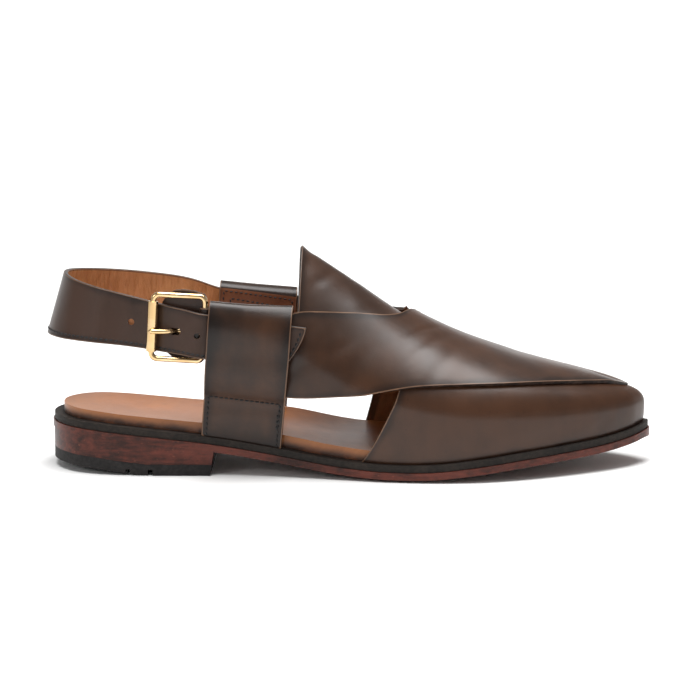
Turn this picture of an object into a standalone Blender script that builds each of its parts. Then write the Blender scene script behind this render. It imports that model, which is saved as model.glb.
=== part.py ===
"""A peshawari chappal for the right foot, built as its maker puts it together.

Sole, welt, stacked heel and padded insole carry a closed-toe upper of crossed bands. A tongue stands
behind the crossing, and a buckled strap runs round the heel through a folded loop at each ankle.

Blender units are metres, +Z is up and +X points to the toe. The outer, buckled side of the shoe faces -Y.
The origin is on the floor, under the middle of the shoe.
"""

import math

import bmesh
import bpy
import numpy as np
from mathutils import Matrix, Vector

MM = 0.001
LATERAL, MEDIAL = -1, 1

# Driving sizes
SOLE_LENGTH = 302 * MM
OUTSOLE_THICK = 3.5 * MM
WELT_THICK = 3.6 * MM
WELT_INSET = 0.8 * MM
HEEL_BREAST_X = 82 * MM
# Shares of the outline, from the back of the heel to the toe, that each layer of the sole covers
SOLE_SPAN, INSOLE_SPAN, HEEL_SPAN = (0.004, 0.996), (0.006, 0.985), (0.004, 0.34)
RUBBER_THICK = 5.5 * MM
FEATHER_INSET = 5.0 * MM
LEATHER = 1.8 * MM
BAND_THICK = 2.0 * MM
STRAP_THICK = 2.2 * MM
GAP = 0.3 * MM
# The upper's panels start this far below the top of the welt, and are trimmed to stand just clear of it
FEATHER_DIP = 0.8 * MM

# The tables below are in millimetres along the shoe from the back of the heel, and become metres here.
# Sole outline, seen from above: x, lateral edge, medial edge
OUTLINE = np.array([
    (0, 0, 0),
    (1.2, -8.5, 8.5),
    (5, -17, 17),
    (14, -26.5, 26.5),
    (30, -32.5, 32.5),
    (50, -34.5, 34),
    (80, -35, 32.5),
    (110, -37.5, 29.5),
    (140, -43, 30.5),
    (170, -49.5, 36.5),
    (195, -51.5, 43),
    (215, -50, 45.5),
    (235, -44.5, 43.5),
    (255, -36, 36.5),
    (272, -27.2, 28.8),
    (286, -18.2, 20.2),
    (296, -9.4, 11.8),
    (302, 1.5, 1.5),
]) * MM

# Seam between outsole and welt, seen from the side: x, z
SOLE_LINE = np.array([
    (0, 23.4),
    (19, 22.3),
    (47, 19.6),
    (85, 15.3),
    (117, 10.4),
    (142, 6.6),
    (160, 5.1),
    (176, 4.8),
    (192, 5.3),
    (210, 7.2),
    (232, 9.6),
    (255, 11.5),
    (277, 13.4),
    (292, 15.6),
    (302, 17.8),
]) * MM

# Padding of the insole over the welt: x, thickness
INSOLE_THICK = np.array([(0, 5.2), (60, 5.4), (110, 6.4), (160, 5.6), (220, 4.4), (300, 3.8)]) * MM
INSOLE_INSET, ARCH_RISE = 5.6 * MM, 3.2 * MM

# Underside of the heel: x, z. It lies flat in front and is pared away behind
HEEL_BASE = np.array([(0, 4.2), (10, 3.9), (25, 2.8), (40, 1.2), (50, 0), (82, 0)]) * MM
BREAST_LEAN = 0.16
# Two small slots in the edge of the heel's rubber on each side
NOTCHES_X = (39.5 * MM, 50.5 * MM)
NOTCH_WIDE, NOTCH_HIGH = 2.4 * MM, 3 * MM

# The last that the upper is shaped on, by feather station: x, crest x, side height, lateral bulge,
# medial bulge, fullness of the side and of the crest
LAST = np.array([
    (60, 60, 66, 3.6, 5.0, 0.45, 0.50),
    (95, 95, 66, 4.2, 7.4, 0.42, 0.46),
    (125, 125, 60, 3.4, 7.4, 0.30, 0.36),
    (150, 150, 46, 2.6, 5.6, 0.30, 0.34),
    (178, 178, 36, 1.8, 3.0, 0.34, 0.40),
    (200, 200, 32, 1.4, 1.6, 0.42, 0.46),
    (225, 221, 30, 1.2, 1.2, 0.50, 0.52),
    (250, 242, 29, 1.1, 1.1, 0.55, 0.55),
    (275, 261, 29, 1.0, 1.0, 0.58, 0.56),
    (290, 272, 29.5, 0.8, 0.8, 0.60, 0.56),
    (297, 279, 30, 0.6, 0.6, 0.60, 0.56),
]) * np.array([MM, MM, MM, MM, MM, 1, 1])

# Crest of the last: x, y, z
CREST = np.array([
    (60, 0, 138),
    (95, 0.5, 127),
    (126, 1, 110.3),
    (150, 2.5, 94.8),
    (178, 3.5, 75.8),
    (202, 4, 63.6),
    (221, 4, 56.4),
    (242, 3.5, 49.7),
    (261, 2.5, 45.0),
    (279, 2, 40.4),
]) * MM

# Lower edge of the crossed bands: x, height
BAND_FOOT = np.array([
    (97, 44), (119, 40.4), (150, 41.8), (182, 44.9), (205, 44.7), (230, 43.8), (255, 42.2), (275, 40.6),
    (288, 39.2), (297, 37.4),
]) * MM
# Rear edge of a band, climbing from its loop over the crest: x, turn round the last (see on_last)
BAND_REAR = np.array([
    (104, -0.90), (114, -0.80), (121, -0.71), (135, -0.59), (150, -0.47), (160, -0.39), (168, -0.31),
    (174.5, -0.20), (180.5, 0.0), (187, 0.19), (196, 0.34), (208, 0.46), (220, 0.54), (235, 0.58),
]) * np.array([MM, 1])
BAND_START_X = 104 * MM
NOTCH_X = 180.5 * MM
BAND_JOIN_X = 235 * MM
UNDER_END_X = 252 * MM

# Rear edge of the toe wall on each side, from feather to top: x at the feather, x at the top
WALL_REAR = {LATERAL: (155 * MM, 176 * MM), MEDIAL: (156 * MM, 167 * MM)}
# How far up the last the wall goes on under the bands, as a share of the turn at their lower edge
WALL_TUCK = 0.78

# Tongue, from its rear edge to its front end: x, height of its side edges
TONGUE_FOOT = np.array([(124, 67), (145, 65), (165, 61), (182, 58), (192, 58), (198, 60)]) * MM
TONGUE_REAR_X, TONGUE_FRONT_X = 126.2 * MM, 199 * MM

# Ankle loops: x of the rear edge at the welt, width, forward slant, top and seam heights at the rear and
# the front edge
LOOP_X, LOOP_WIDTH, LOOP_SLANT = 77 * MM, 39.6 * MM, 0.1
LOOP_TOP = {LATERAL: (86.0 * MM, 81.6 * MM), MEDIAL: (86.6 * MM, 82.6 * MM)}
LOOP_SEAM = (43 * MM, 39 * MM)
LOOP_ROOM = {LATERAL: 9.3 * MM, MEDIAL: 7.3 * MM}
LOOP_FLARE = {LATERAL: 1.6 * MM, MEDIAL: 0}

# Heel strap, from the tail forward of the buckle round the heel: x, y, height, width, lean in degrees.
# Inside the loops, where y is 0, it lies against what the last carries there
STRAP = np.array([
    (128, 0, 64.8, 20.6, 2),
    (112, 0, 66.4, 21.0, 2),
    (98, 0, 68.0, 21.4, 2),
    (86, -40.2, 69.6, 21.6, 2),
    (78, -41.1, 70.7, 22.0, 3),
    (70, -38.4, 72.1, 22.4, 4),
    (62, -35.2, 73.3, 23.0, 2),
    (53, -31.9, 74.7, 23.8, 2),
    (40, -29.4, 76.8, 25.2, 4),
    (25, -26.4, 78.9, 27.4, 9),
    (12.5, -18.9, 80.6, 30.0, 12),
    (6.5, -9.5, 81.4, 31.6, 15),
    (4.6, 0.01, 81.6, 32.2, 16.5),
    (6.5, 9.5, 81.6, 31.6, 15),
    (12.5, 19.1, 81.4, 30.0, 12),
    (25, 27.4, 81.0, 28.0, 9),
    (45, 32.2, 79.7, 26.0, 6),
    (65, 34.8, 77.2, 24.4, 4),
    (83, 0, 72.9, 21.0, 3),
    (102, 0, 70.8, 21.2, 2),
]) * np.array([MM, MM, MM, MM, 1])
STRAP_OFF_LAST = {LATERAL: 4.6 * MM, MEDIAL: 3.5 * MM}
TAIL_ROUND = 9 * MM
STRAP_HOLES_X = (43.6 * MM, 76.3 * MM)
HOLE_WIDE = 3.4 * MM

# Buckle, in its own plane: roller at the rear, hinge bar in front
BUCKLE_MIDDLE = Vector((66.9, -37.9, 74.3)) * MM
BUCKLE_DROP = math.radians(3.3)
BUCKLE_REACH, BUCKLE_HALF_HIGH, BUCKLE_CORNER = 12.6 * MM, 15.7 * MM, 3.2 * MM
WIRE = 2.8 * MM
ROLLER_WIDE, ROLLER_LONG = 5 * MM, 24.6 * MM
PRONG_WIDE = 2.4 * MM
# Prong, from the hinge bar to its tip on the roller: along the buckle, outward
PRONG = np.array([
    (10.5, 0), (5.4, -0.6), (1.6, -1.6), (-0.5, -1.5), (-2.2, -0.3), (-4.0, 1.3), (-6.4, 2.7), (-9.5, 3.8),
    (-12.0, 4.1), (-14.0, 3.9),
]) * MM
PRONG_UP = -1.9 * MM
# Leather tab behind the buckle, from its rounded rear end into the loop: x, y of its outer face, and how far
# it reaches down and up from the buckle's middle
TAB = np.array([
    (57, -31.8, -2, 6), (58, -32.0, -7.5, 11), (60.5, -32.6, -12.5, 15.2), (64, -33.4, -15.2, 17.6),
    (68, -34.3, -16, 18.2), (74, -35.5, -16, 18), (79.4, -36.2, -16, 16.4), (81.2, -36.5, -12, 8),
    (88, -37.0, -12, 8), (98, -37.5, -12, 8),
]) * MM
TAB_THICK = 1.4 * MM
# Strip folded round the hinge bar, seen along the bar: distance from the bar forward, outward
WRAP = np.array([
    (0, -2.6), (-1.8, -1.8), (-2.5, 0), (-1.8, 1.8), (0, 2.5), (3.2, 1.6), (6, -0.6), (7.6, -2.4),
    (3.8, -2.4), (2.6, 0.6), (0, 1.7), (-1.2, 1.2), (-1.7, 0), (-1.2, -1.2), (0, -1.7),
]) * MM
WRAP_HALF_HIGH, WRAP_SLOT = 10.4 * MM, 2.3 * MM


def table_value(rows, column, x):
    """A table's column at x, on a smooth curve through its rows."""
    stations, values = rows[:, 0], rows[:, column]
    slopes = np.gradient(values, stations)
    i = int(np.clip(np.searchsorted(stations, x) - 1, 0, len(stations) - 2))
    step = stations[i + 1] - stations[i]
    t = min(max((x - stations[i]) / step, 0.0), 1.0)
    start = (2 * t**3 - 3 * t**2 + 1) * values[i] + (t**3 - 2 * t**2 + t) * step * slopes[i]
    end = (3 * t**2 - 2 * t**3) * values[i + 1] + (t**3 - t**2) * step * slopes[i + 1]
    return start + end


def curve_through(points, samples):
    """A smooth closed curve through the points, as evenly fine samples."""
    wrapped = np.vstack([points[-2:], points, points[:3]])
    run = np.concatenate([[0], np.cumsum(np.linalg.norm(np.diff(wrapped, axis=0), axis=1))])
    along = np.linspace(run[2], run[-3], samples, endpoint=False)
    rows = np.column_stack([run, wrapped])
    return np.array([[table_value(rows, 1, s), table_value(rows, 2, s)] for s in along])


SOLE_CURVE = curve_through(
    np.vstack([OUTLINE[:, [0, 1]], OUTLINE[-2:0:-1][:, [0, 2]]]), samples=480
)
TIP = int(np.argmax(SOLE_CURVE[:, 0]))


def edge_line(side, inset):
    """One side of the sole outline from the heel to the toe, moved in by the inset."""
    run = np.roll(SOLE_CURVE, -1, axis=0) - np.roll(SOLE_CURVE, 1, axis=0)
    inward = np.column_stack([-run[:, 1], run[:, 0]]) / np.linalg.norm(run, axis=1)[:, None]
    moved = SOLE_CURVE + inward * inset
    if side == LATERAL:
        return moved[: TIP + 1]
    return np.vstack([moved[TIP:], moved[:1]])[::-1]


EDGES = {}


def edge_point(side, inset, share):
    """The point at a share of the way along one side of the outline, from heel to toe."""
    if (side, inset) not in EDGES:
        line = edge_line(side, inset)
        run = np.concatenate([[0], np.cumsum(np.linalg.norm(np.diff(line, axis=0), axis=1))])
        EDGES[side, inset] = (run / run[-1], line)
    shares, line = EDGES[side, inset]
    return np.interp(share, shares, line[:, 0]), np.interp(share, shares, line[:, 1])


def breadth(side, inset, x):
    """How far out, in y, the outline lies on one side at x."""
    edge_point(side, inset, 0)
    line = EDGES[side, inset][1]
    if x >= line[-1, 0]:
        return line[-1, 1]
    return np.interp(x, line[:, 0], line[:, 1])


FEATHER_TIP_X = edge_line(LATERAL, FEATHER_INSET)[-1, 0]


def sole_seam(x):
    return table_value(SOLE_LINE, 1, x)


def welt_top(x):
    return sole_seam(x) + WELT_THICK


def bezier(p0, p1, p2, p3, t):
    return (1 - t) ** 3 * p0 + 3 * (1 - t) ** 2 * t * p1 + 3 * (1 - t) * t**2 * p2 + t**3 * p3


def on_last(x, turn):
    """A point of the last. x is its feather station, and turn goes from -2, the lateral feather, over -1,
    the lateral side at its widest, 0, the crest, and 1, the medial side, to 2, the medial feather."""
    side = MEDIAL if turn > 0 else LATERAL
    feather = np.array([x, breadth(side, FEATHER_INSET, x)])
    crest_x = table_value(LAST, 1, x)
    crest = np.array([crest_x, table_value(CREST, 1, crest_x)])
    out = feather - crest
    reach = np.linalg.norm(out)
    out = out / reach
    feather_z = welt_top(x) - FEATHER_DIP
    side_z = table_value(LAST, 2, x)
    bulge = table_value(LAST, 3 if side == LATERAL else 4, x)
    side_full, crest_full = table_value(LAST, 5, x), table_value(LAST, 6, x)
    crest_z = table_value(CREST, 2, crest_x)
    widest = reach + bulge
    if abs(turn) <= 1:
        rise = crest_z - side_z
        r = bezier(widest, widest, crest_full * widest, 0.0, 1 - abs(turn))
        z = bezier(side_z, side_z + side_full * rise, crest_z, crest_z, 1 - abs(turn))
    else:
        rise = side_z - feather_z
        r = bezier(reach, reach + bulge * 0.8, widest, widest, 2 - abs(turn))
        z = bezier(feather_z, feather_z + rise * 0.2, side_z - rise * 0.4, side_z, 2 - abs(turn))
    return Vector((*(crest + out * r), z))


def off_last(x, turn, offset):
    """A point this far outside the last."""
    step = 0.02
    across = on_last(x, turn + step) - on_last(x, turn - step)
    along = on_last(min(x + 0.5 * MM, FEATHER_TIP_X), turn) - on_last(x - 0.5 * MM, turn)
    return on_last(x, turn) + along.cross(across).normalized() * offset


def turn_at_height(x, side, height):
    """The turn round the last, 0 at the crest to 2 at the feather, where it stands at this height."""
    high, low = 0.0, 2.0
    for _ in range(24):
        middle = (high + low) / 2
        if on_last(x, side * middle).z > height:
            high = middle
        else:
            low = middle
    return side * (high + low) / 2


def toward_tip(share, start_x):
    """Feather station at a share of the way to the toe, closer together where the toe is round."""
    return FEATHER_TIP_X - (FEATHER_TIP_X - start_x) * (1 - share) ** 1.7


def new_object(name, mesh, collection="peshawari_chappal"):
    obj = bpy.data.objects.new(name, mesh)
    if collection not in bpy.data.collections:
        bpy.context.scene.collection.children.link(bpy.data.collections.new(collection))
    bpy.data.collections[collection].objects.link(obj)
    return obj


def grid_mesh(along, across, place):
    """A grid whose point at (u, v), both from 0 to 1, stands at place(u, v)."""
    bm = bmesh.new()
    bmesh.ops.create_grid(bm, x_segments=along, y_segments=across, size=0.5)
    for vert in bm.verts:
        vert.co = Vector(place(vert.co.x + 0.5, vert.co.y + 0.5))
    bmesh.ops.remove_doubles(bm, verts=bm.verts, dist=0.02 * MM)
    return bm


def to_object(bm, name, collection="peshawari_chappal"):
    mesh = bpy.data.meshes.new(name)
    bm.to_mesh(mesh)
    bm.free()
    return new_object(name, mesh, collection)


def panel(name, along, across, place, from_last, thick):
    """Leather lying on the last: place gives a feather station and a turn for each (u, v)."""
    stations = {}

    def on_surface(u, v):
        key = (round(u, 5), round(v, 5))
        if key not in stations:
            stations[key] = on_last(*place(u, v))
        return stations[key]

    obj = to_object(grid_mesh(along, across, on_surface), name)
    modify(obj, "DISPLACE", strength=from_last, mid_level=0)
    modify(obj, "SOLIDIFY", thickness=thick, offset=1)
    bake(obj)
    return obj


def slab(name, inset, span, top, bottom, along=34, across=4):
    """A layer of the sole over a span of the outline. Its top and bottom heights are given at x and the
    share of the way out from the middle, -1 to 1."""
    first, last = span

    def plan(u, v):
        share = first + (last - first) * u
        x0, y0 = edge_point(LATERAL, inset, share)
        x1, y1 = edge_point(MEDIAL, inset, share)
        return x0 + (x1 - x0) * v, y0 + (y1 - y0) * v, v

    bm = grid_mesh(along, across, plan)
    base = bmesh.ops.extrude_face_region(bm, geom=bm.faces[:], use_keep_orig=True)["geom"]
    lower = {item for item in base if isinstance(item, bmesh.types.BMVert)}
    for vert in bm.verts:
        out = 2 * vert.co.z - 1
        height = bottom if vert in lower else top
        vert.co.z = height(vert.co.x, out)
    bmesh.ops.recalc_face_normals(bm, faces=bm.faces)
    return to_object(bm, name)


def loft(name, rings, collection="peshawari_chappal"):
    """A closed solid through rings of equally many points, capped at both ends."""
    bm = bmesh.new()
    loops = [[bm.verts.new(point) for point in ring] for ring in rings]
    count = len(rings[0])
    for first, second in zip(loops, loops[1:]):
        for i in range(count):
            j = (i + 1) % count
            bm.faces.new((first[i], first[j], second[j], second[i]))
    bm.faces.new(loops[0][::-1])
    bm.faces.new(loops[-1])
    bmesh.ops.recalc_face_normals(bm, faces=bm.faces)
    return to_object(bm, name, collection)


def cylinder(name, radius, length, place, sides=12, collection="peshawari_chappal"):
    """A cylinder along the Z axis of a placing matrix."""
    bm = bmesh.new()
    bmesh.ops.create_cone(
        bm, cap_ends=True, segments=sides, radius1=radius, radius2=radius, depth=length, matrix=place
    )
    return to_object(bm, name, collection)


def ring(name, inner, outer, length, place, sides=12):
    obj = cylinder(name, outer, length, place, sides)
    cut(obj, cylinder(name + "_bore", inner, length + 2 * MM, place, sides, "cutters"))
    bake(obj)
    return obj


def wire(name, path, radius, closed=False, collection="peshawari_chappal"):
    """A round wire along a path, as a mesh."""
    curve = bpy.data.curves.new(name, "CURVE")
    curve.dimensions = "3D"
    curve.bevel_depth = radius
    curve.bevel_resolution = 2
    curve.use_fill_caps = not closed
    spline = curve.splines.new("POLY")
    spline.points.add(len(path) - 1)
    spline.use_cyclic_u = closed
    for point, position in zip(spline.points, path):
        point.co = (*position, 1)
    source = new_object(name + "_curve", curve, collection)
    bpy.context.view_layer.update()
    graph = bpy.context.evaluated_depsgraph_get()
    mesh = bpy.data.meshes.new_from_object(source.evaluated_get(graph))
    bpy.data.objects.remove(source)
    bm = bmesh.new()
    bm.from_mesh(mesh)
    bmesh.ops.remove_doubles(bm, verts=bm.verts, dist=0.02 * MM)
    bmesh.ops.recalc_face_normals(bm, faces=bm.faces)
    return to_object(bm, name, collection)


def modify(obj, kind, **settings):
    modifier = obj.modifiers.new(kind.title(), kind)
    for name, value in settings.items():
        setattr(modifier, name, value)
    return modifier


def join(obj, *others):
    """Welds the others into the object, and removes them."""
    for other in others:
        modify(obj, "BOOLEAN", operation="UNION", object=other, solver="EXACT")
    bake(obj)
    for other in others:
        bpy.data.objects.remove(other)


def cut(obj, *cutters):
    for cutter in cutters:
        cutter.hide_render = True
        cutter.display_type = "WIRE"
        modify(obj, "BOOLEAN", operation="DIFFERENCE", object=cutter, solver="EXACT")


def bake(obj):
    """Replaces an object's mesh by its evaluated one, which clears its modifiers."""
    bpy.context.view_layer.update()
    graph = bpy.context.evaluated_depsgraph_get()
    mesh = bpy.data.meshes.new_from_object(obj.evaluated_get(graph))
    obj.modifiers.clear()
    obj.data = mesh
    mesh.transform(obj.matrix_basis)
    obj.matrix_basis = Matrix.Identity(4)


def material(name, colour, roughness, metallic=0.0):
    made = bpy.data.materials.new(name)
    made.use_nodes = True
    shader = made.node_tree.nodes["Principled BSDF"]
    shader.inputs["Base Color"].default_value = (*colour, 1)
    shader.inputs["Roughness"].default_value = roughness
    shader.inputs["Metallic"].default_value = metallic
    return made


def finish(obj, made):
    obj.data.materials.clear()
    obj.data.materials.append(made)
    return obj


def make_sole():
    """Outsole, welt, heel and insole, each a layer of its own outline and profile."""
    def outsole_top(x, out):
        return sole_seam(x)

    def outsole_base(x, out):
        crown = 1.7 * MM * min(max((x - 95 * MM) / (50 * MM), 0), 1)
        return max(0.0, sole_seam(x) - OUTSOLE_THICK - crown * (1 - out * out))

    def welt_base(x, out):
        return sole_seam(x) + GAP

    outsole = slab("outsole", 0, SOLE_SPAN, outsole_top, outsole_base, across=6)
    welt = slab("welt", WELT_INSET, SOLE_SPAN, lambda x, out: welt_top(x), welt_base)

    def insole_top(x, out):
        thick = table_value(INSOLE_THICK, 1, x)
        arch = ARCH_RISE * max(out, 0) ** 2 * math.exp(-(((x - 122 * MM) / (32 * MM)) ** 2))
        return welt_top(x) + thick + arch

    def insole_base(x, out):
        return welt_top(x) + GAP

    insole = slab("insole", INSOLE_INSET, INSOLE_SPAN, insole_top, insole_base, along=26, across=5)
    modify(insole, "BEVEL", width=2.2 * MM, segments=2, limit_method="ANGLE", angle_limit=math.radians(50))
    bake(insole)

    def rubber_base(x, out):
        return np.interp(x, HEEL_BASE[:, 0], HEEL_BASE[:, 1])

    def rubber_top(x, out):
        return rubber_base(x, out) + RUBBER_THICK

    def stack_top(x, out):
        return outsole_base(x, out) - GAP

    def stack_base(x, out):
        return rubber_top(x, out) + GAP

    breast = cutter_box("heel_breast", (HEEL_BREAST_X, -60 * MM, -5 * MM), (150 * MM, 60 * MM, 30 * MM))
    for vert in breast.data.vertices:
        if vert.co.x < 100 * MM:
            vert.co.x += (vert.co.z - 6 * MM) * BREAST_LEAN
    stack = slab("heel_stack", WELT_INSET / 2, HEEL_SPAN, stack_top, stack_base, along=14)
    rubber = slab("heel_top_piece", WELT_INSET / 2, HEEL_SPAN, rubber_top, rubber_base, along=14)
    cut(stack, breast)
    notches = []
    for side in (LATERAL, MEDIAL):
        for x in NOTCHES_X:
            inner, outer = sorted((side * 25 * MM, side * 40 * MM))
            notches.append(cutter_box("notch", (x, inner, -1 * MM), (x + NOTCH_WIDE, outer, NOTCH_HIGH)))
    cut(rubber, breast, *notches)
    bake(stack)
    bake(rubber)
    return outsole, welt, stack, rubber, insole


def cutter_box(name, low, high):
    bm = bmesh.new()
    bmesh.ops.create_cube(bm, size=1)
    low, high = Vector(low), Vector(high)
    for vert in bm.verts:
        vert.co = Vector(low[i] + (high[i] - low[i]) * (vert.co[i] + 0.5) for i in range(3))
    return to_object(bm, name, "cutters")


def band_foot_turn(x, side):
    return turn_at_height(x, side, table_value(BAND_FOOT, 1, x))


def over_crest(x, start, end, v, crest_v, far):
    """Turn at v for a band from start to end, with the row at crest_v on the crest once the band crosses
    it. Short of the notch that row drifts to the band's far edge, which is at v = far."""
    if start < 0 < end:
        row = 0
    else:
        drift = min(max((x - BAND_START_X) / (NOTCH_X - BAND_START_X), 0), 1)
        row = start + (end - start) * (crest_v + (far - crest_v) * drift)
    if v < crest_v:
        return start + (row - start) * v / crest_v
    return row + (end - row) * (v - crest_v) / (1 - crest_v)


def make_welt_room():
    """What the upper's lower edges are trimmed with: the welt with its gap, and all below it."""
    def room_top(x, out):
        return welt_top(x) + GAP

    def room_base(x, out):
        return welt_top(x) - 4 * MM

    room = slab("welt_room", -1 * MM, (0.002, 0.998), room_top, room_base)
    bpy.data.collections["peshawari_chappal"].objects.unlink(room)
    bpy.data.collections["cutters"].objects.link(room)
    return room


def make_upper(welt_room):
    """The toe wall and the two crossed bands, the lateral one on top, sewn into one."""
    feet = {}

    def foot_turn(x, side):
        key = (round(x, 6), side)
        if key not in feet:
            feet[key] = band_foot_turn(x, side)
        return feet[key]

    def wall_place(u, v):
        side = LATERAL if u < 0.5 else MEDIAL
        rear = WALL_REAR[side][0] + (WALL_REAR[side][1] - WALL_REAR[side][0]) * v
        x = toward_tip(1 - abs(1 - 2 * u), rear)
        top = foot_turn(x, side) * WALL_TUCK
        return x, side * 2 + (top - side * 2) * v

    def lateral_place(u, v):
        x = toward_tip(u, BAND_START_X)
        start = foot_turn(x, LATERAL)
        end = foot_turn(x, MEDIAL)
        if x < BAND_JOIN_X:
            end = min(end, table_value(BAND_REAR, 1, x))
        return x, over_crest(x, start, end, v, 0.5, 1)

    def medial_place(u, v):
        x = BAND_START_X + (UNDER_END_X - BAND_START_X) * u
        end = foot_turn(x, MEDIAL)
        if x > BAND_JOIN_X - 10 * MM:
            end -= 0.08 * min(1, (x - BAND_JOIN_X + 10 * MM) / (8 * MM))
        start = -table_value(BAND_REAR, 1, x) if x < NOTCH_X else -0.26 * min(1, (x - NOTCH_X) / (30 * MM))
        return x, over_crest(x, start, end, v, 0.3, 0)

    wall = panel("upper", 44, 7, wall_place, 0, LEATHER)
    lateral = panel("lateral_band", 26, 16, lateral_place, 0.7 * MM, 3.0 * MM)
    medial = panel("medial_band", 20, 10, medial_place, 1.1 * MM, 1.8 * MM)
    join(wall, lateral, medial)
    cut(wall, welt_room)
    bake(wall)
    return wall


def make_tongue():
    def place(u, v):
        turn_share = 2 * v - 1
        rear = TONGUE_REAR_X - 2.5 * MM * turn_share**2
        front = TONGUE_FRONT_X - 6 * MM * turn_share**2
        x = rear + (front - rear) * u
        side = MEDIAL if turn_share > 0 else LATERAL
        foot = turn_at_height(x, side, table_value(TONGUE_FOOT, 1, x))
        return x, abs(foot) * turn_share

    return panel("tongue", 13, 14, place, -2.9 * MM, 1.8 * MM)


def beside_last(side, x, z, offset):
    """A point of the last's side at this height, moved this far outside it."""
    return off_last(x, turn_at_height(x, side, z), offset)


def make_loop(side, name, welt_room):
    """A strip folded over at the top and sewn down below, with room inside for the strap and the band."""
    room, flare = LOOP_ROOM[side], LOOP_FLARE[side]

    def place(share, offset, z):
        x = LOOP_X + LOOP_WIDTH * share + LOOP_SLANT * (z - 20 * MM)
        return beside_last(side, x, z, offset)

    def outline(share):
        top = LOOP_TOP[side][0] + (LOOP_TOP[side][1] - LOOP_TOP[side][0]) * share
        seam = LOOP_SEAM[0] + (LOOP_SEAM[1] - LOOP_SEAM[0]) * share
        bottom = welt_top(LOOP_X + LOOP_WIDTH * share) - FEATHER_DIP
        wide = room + flare * max(0, 1 - share * 2.5)
        skin = 1.6 * MM
        outer = [
            (-0.2 * MM, bottom), (-0.2 * MM, 30 * MM), (-1.5 * MM, 38 * MM), (-1.5 * MM, 60 * MM),
            (-1.5 * MM, top - 5 * MM), (-0.7 * MM, top - 1.6 * MM), (wide * 0.25, top - 0.2 * MM),
            (wide * 0.6, top), (wide + 0.8 * MM, top - 1.3 * MM), (wide + skin + 0.8 * MM, top - 5 * MM),
            (wide + skin, 62 * MM), (wide * 0.92 + skin, seam + 10 * MM), (5.6 * MM, seam + 0.8 * MM),
            (3.1 * MM, seam - 2.4 * MM), (3.0 * MM, 29 * MM), (3.0 * MM, bottom),
        ]
        inner = [
            (0.1 * MM, seam + 0.9 * MM), (0.1 * MM, 60 * MM), (0.1 * MM, top - 5 * MM),
            (1.0 * MM, top - 2.4 * MM), (wide * 0.6, top - 1.7 * MM), (wide - 0.1 * MM, top - 2.8 * MM),
            (wide + 0.8 * MM, top - 6 * MM), (wide, 62 * MM), (wide * 0.92, seam + 10 * MM),
            (4.3 * MM, seam + 0.9 * MM),
        ]
        return outer, inner

    shares = (0, 0.2, 0.45, 0.72, 1)
    rings = [[place(share, *point) for point in outline(share)[0]] for share in shares]
    hollow = []
    for share in (-0.09, *shares[1:-1], 1.09):
        hollow.append([place(share, *point) for point in outline(min(max(share, 0), 1))[1]])
    loop = loft(name, rings)
    cavity = loft(name + "_room", hollow, "cutters")
    cut(loop, cavity, welt_room)
    bake(loop)
    return loop


def strap_rows():
    """The strap table after its distance along the strap. In a loop, y comes from the last."""
    rows = STRAP.copy()
    for i, row in enumerate(rows):
        if row[1] == 0:
            side = LATERAL if i < 10 else MEDIAL
            row[1] = beside_last(side, row[0], row[2], STRAP_OFF_LAST[side]).y
    run = np.concatenate([[0], np.cumsum(np.linalg.norm(np.diff(rows[:, :2], axis=0), axis=1))])
    return np.column_stack([run, rows])


def strap_place(rows, distance):
    """The heel strap at a distance along it: middle of its inner face, direction up its width, and width."""
    middle, before, after = (
        Vector(table_value(rows, c, distance + d) for c in (1, 2, 3)) for d in (0, -0.3 * MM, 0.3 * MM)
    )
    along = (after - before).normalized()
    out = along.cross(Vector((0, 0, 1))).normalized()
    lean = math.radians(table_value(rows, 5, distance))
    up = Vector((0, 0, 1)) * math.cos(lean) + out * math.sin(lean)
    return middle, up - along * up.dot(along), table_value(rows, 4, distance)


def make_strap(prong_room):
    rows = strap_rows()
    total = rows[-1, 0]

    def place(u, v):
        rise = 1 - 2 * v
        distance = u * total
        retreat = TAIL_ROUND * ((1 - rise) / 2) ** 1.7 * max(0, 1 - distance / (24 * MM))
        middle, up, width = strap_place(rows, distance + retreat)
        return middle + up * (width / 2 * rise)

    strap = to_object(grid_mesh(54, 3, place), "heel_strap")
    modify(strap, "SOLIDIFY", thickness=STRAP_THICK, offset=1, use_even_offset=True)
    bake(strap)
    punches = []
    for x in STRAP_HOLES_X:
        lateral = rows[rows[:, 2] < 0]
        y, z = (np.interp(-x, -lateral[:, 1], lateral[:, c]) for c in (2, 3))
        place = Matrix.Translation((x, y, z)) @ Matrix.Rotation(math.pi / 2, 4, "X")
        punches.append(cylinder("punch", HOLE_WIDE / 2, 12 * MM, place, collection="cutters"))
    cut(strap, prong_room, *punches)
    bake(strap)
    return strap


def buckle_matrix():
    """Along the buckle to the toe, up across the strap, and out of the shoe."""
    along = Vector((math.cos(BUCKLE_DROP), 0, -math.sin(BUCKLE_DROP)))
    up = Vector((math.sin(BUCKLE_DROP), 0, math.cos(BUCKLE_DROP)))
    out = along.cross(up)
    turned = Matrix((along, up, out)).transposed().to_4x4()
    return Matrix.Translation(BUCKLE_MIDDLE) @ turned


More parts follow.
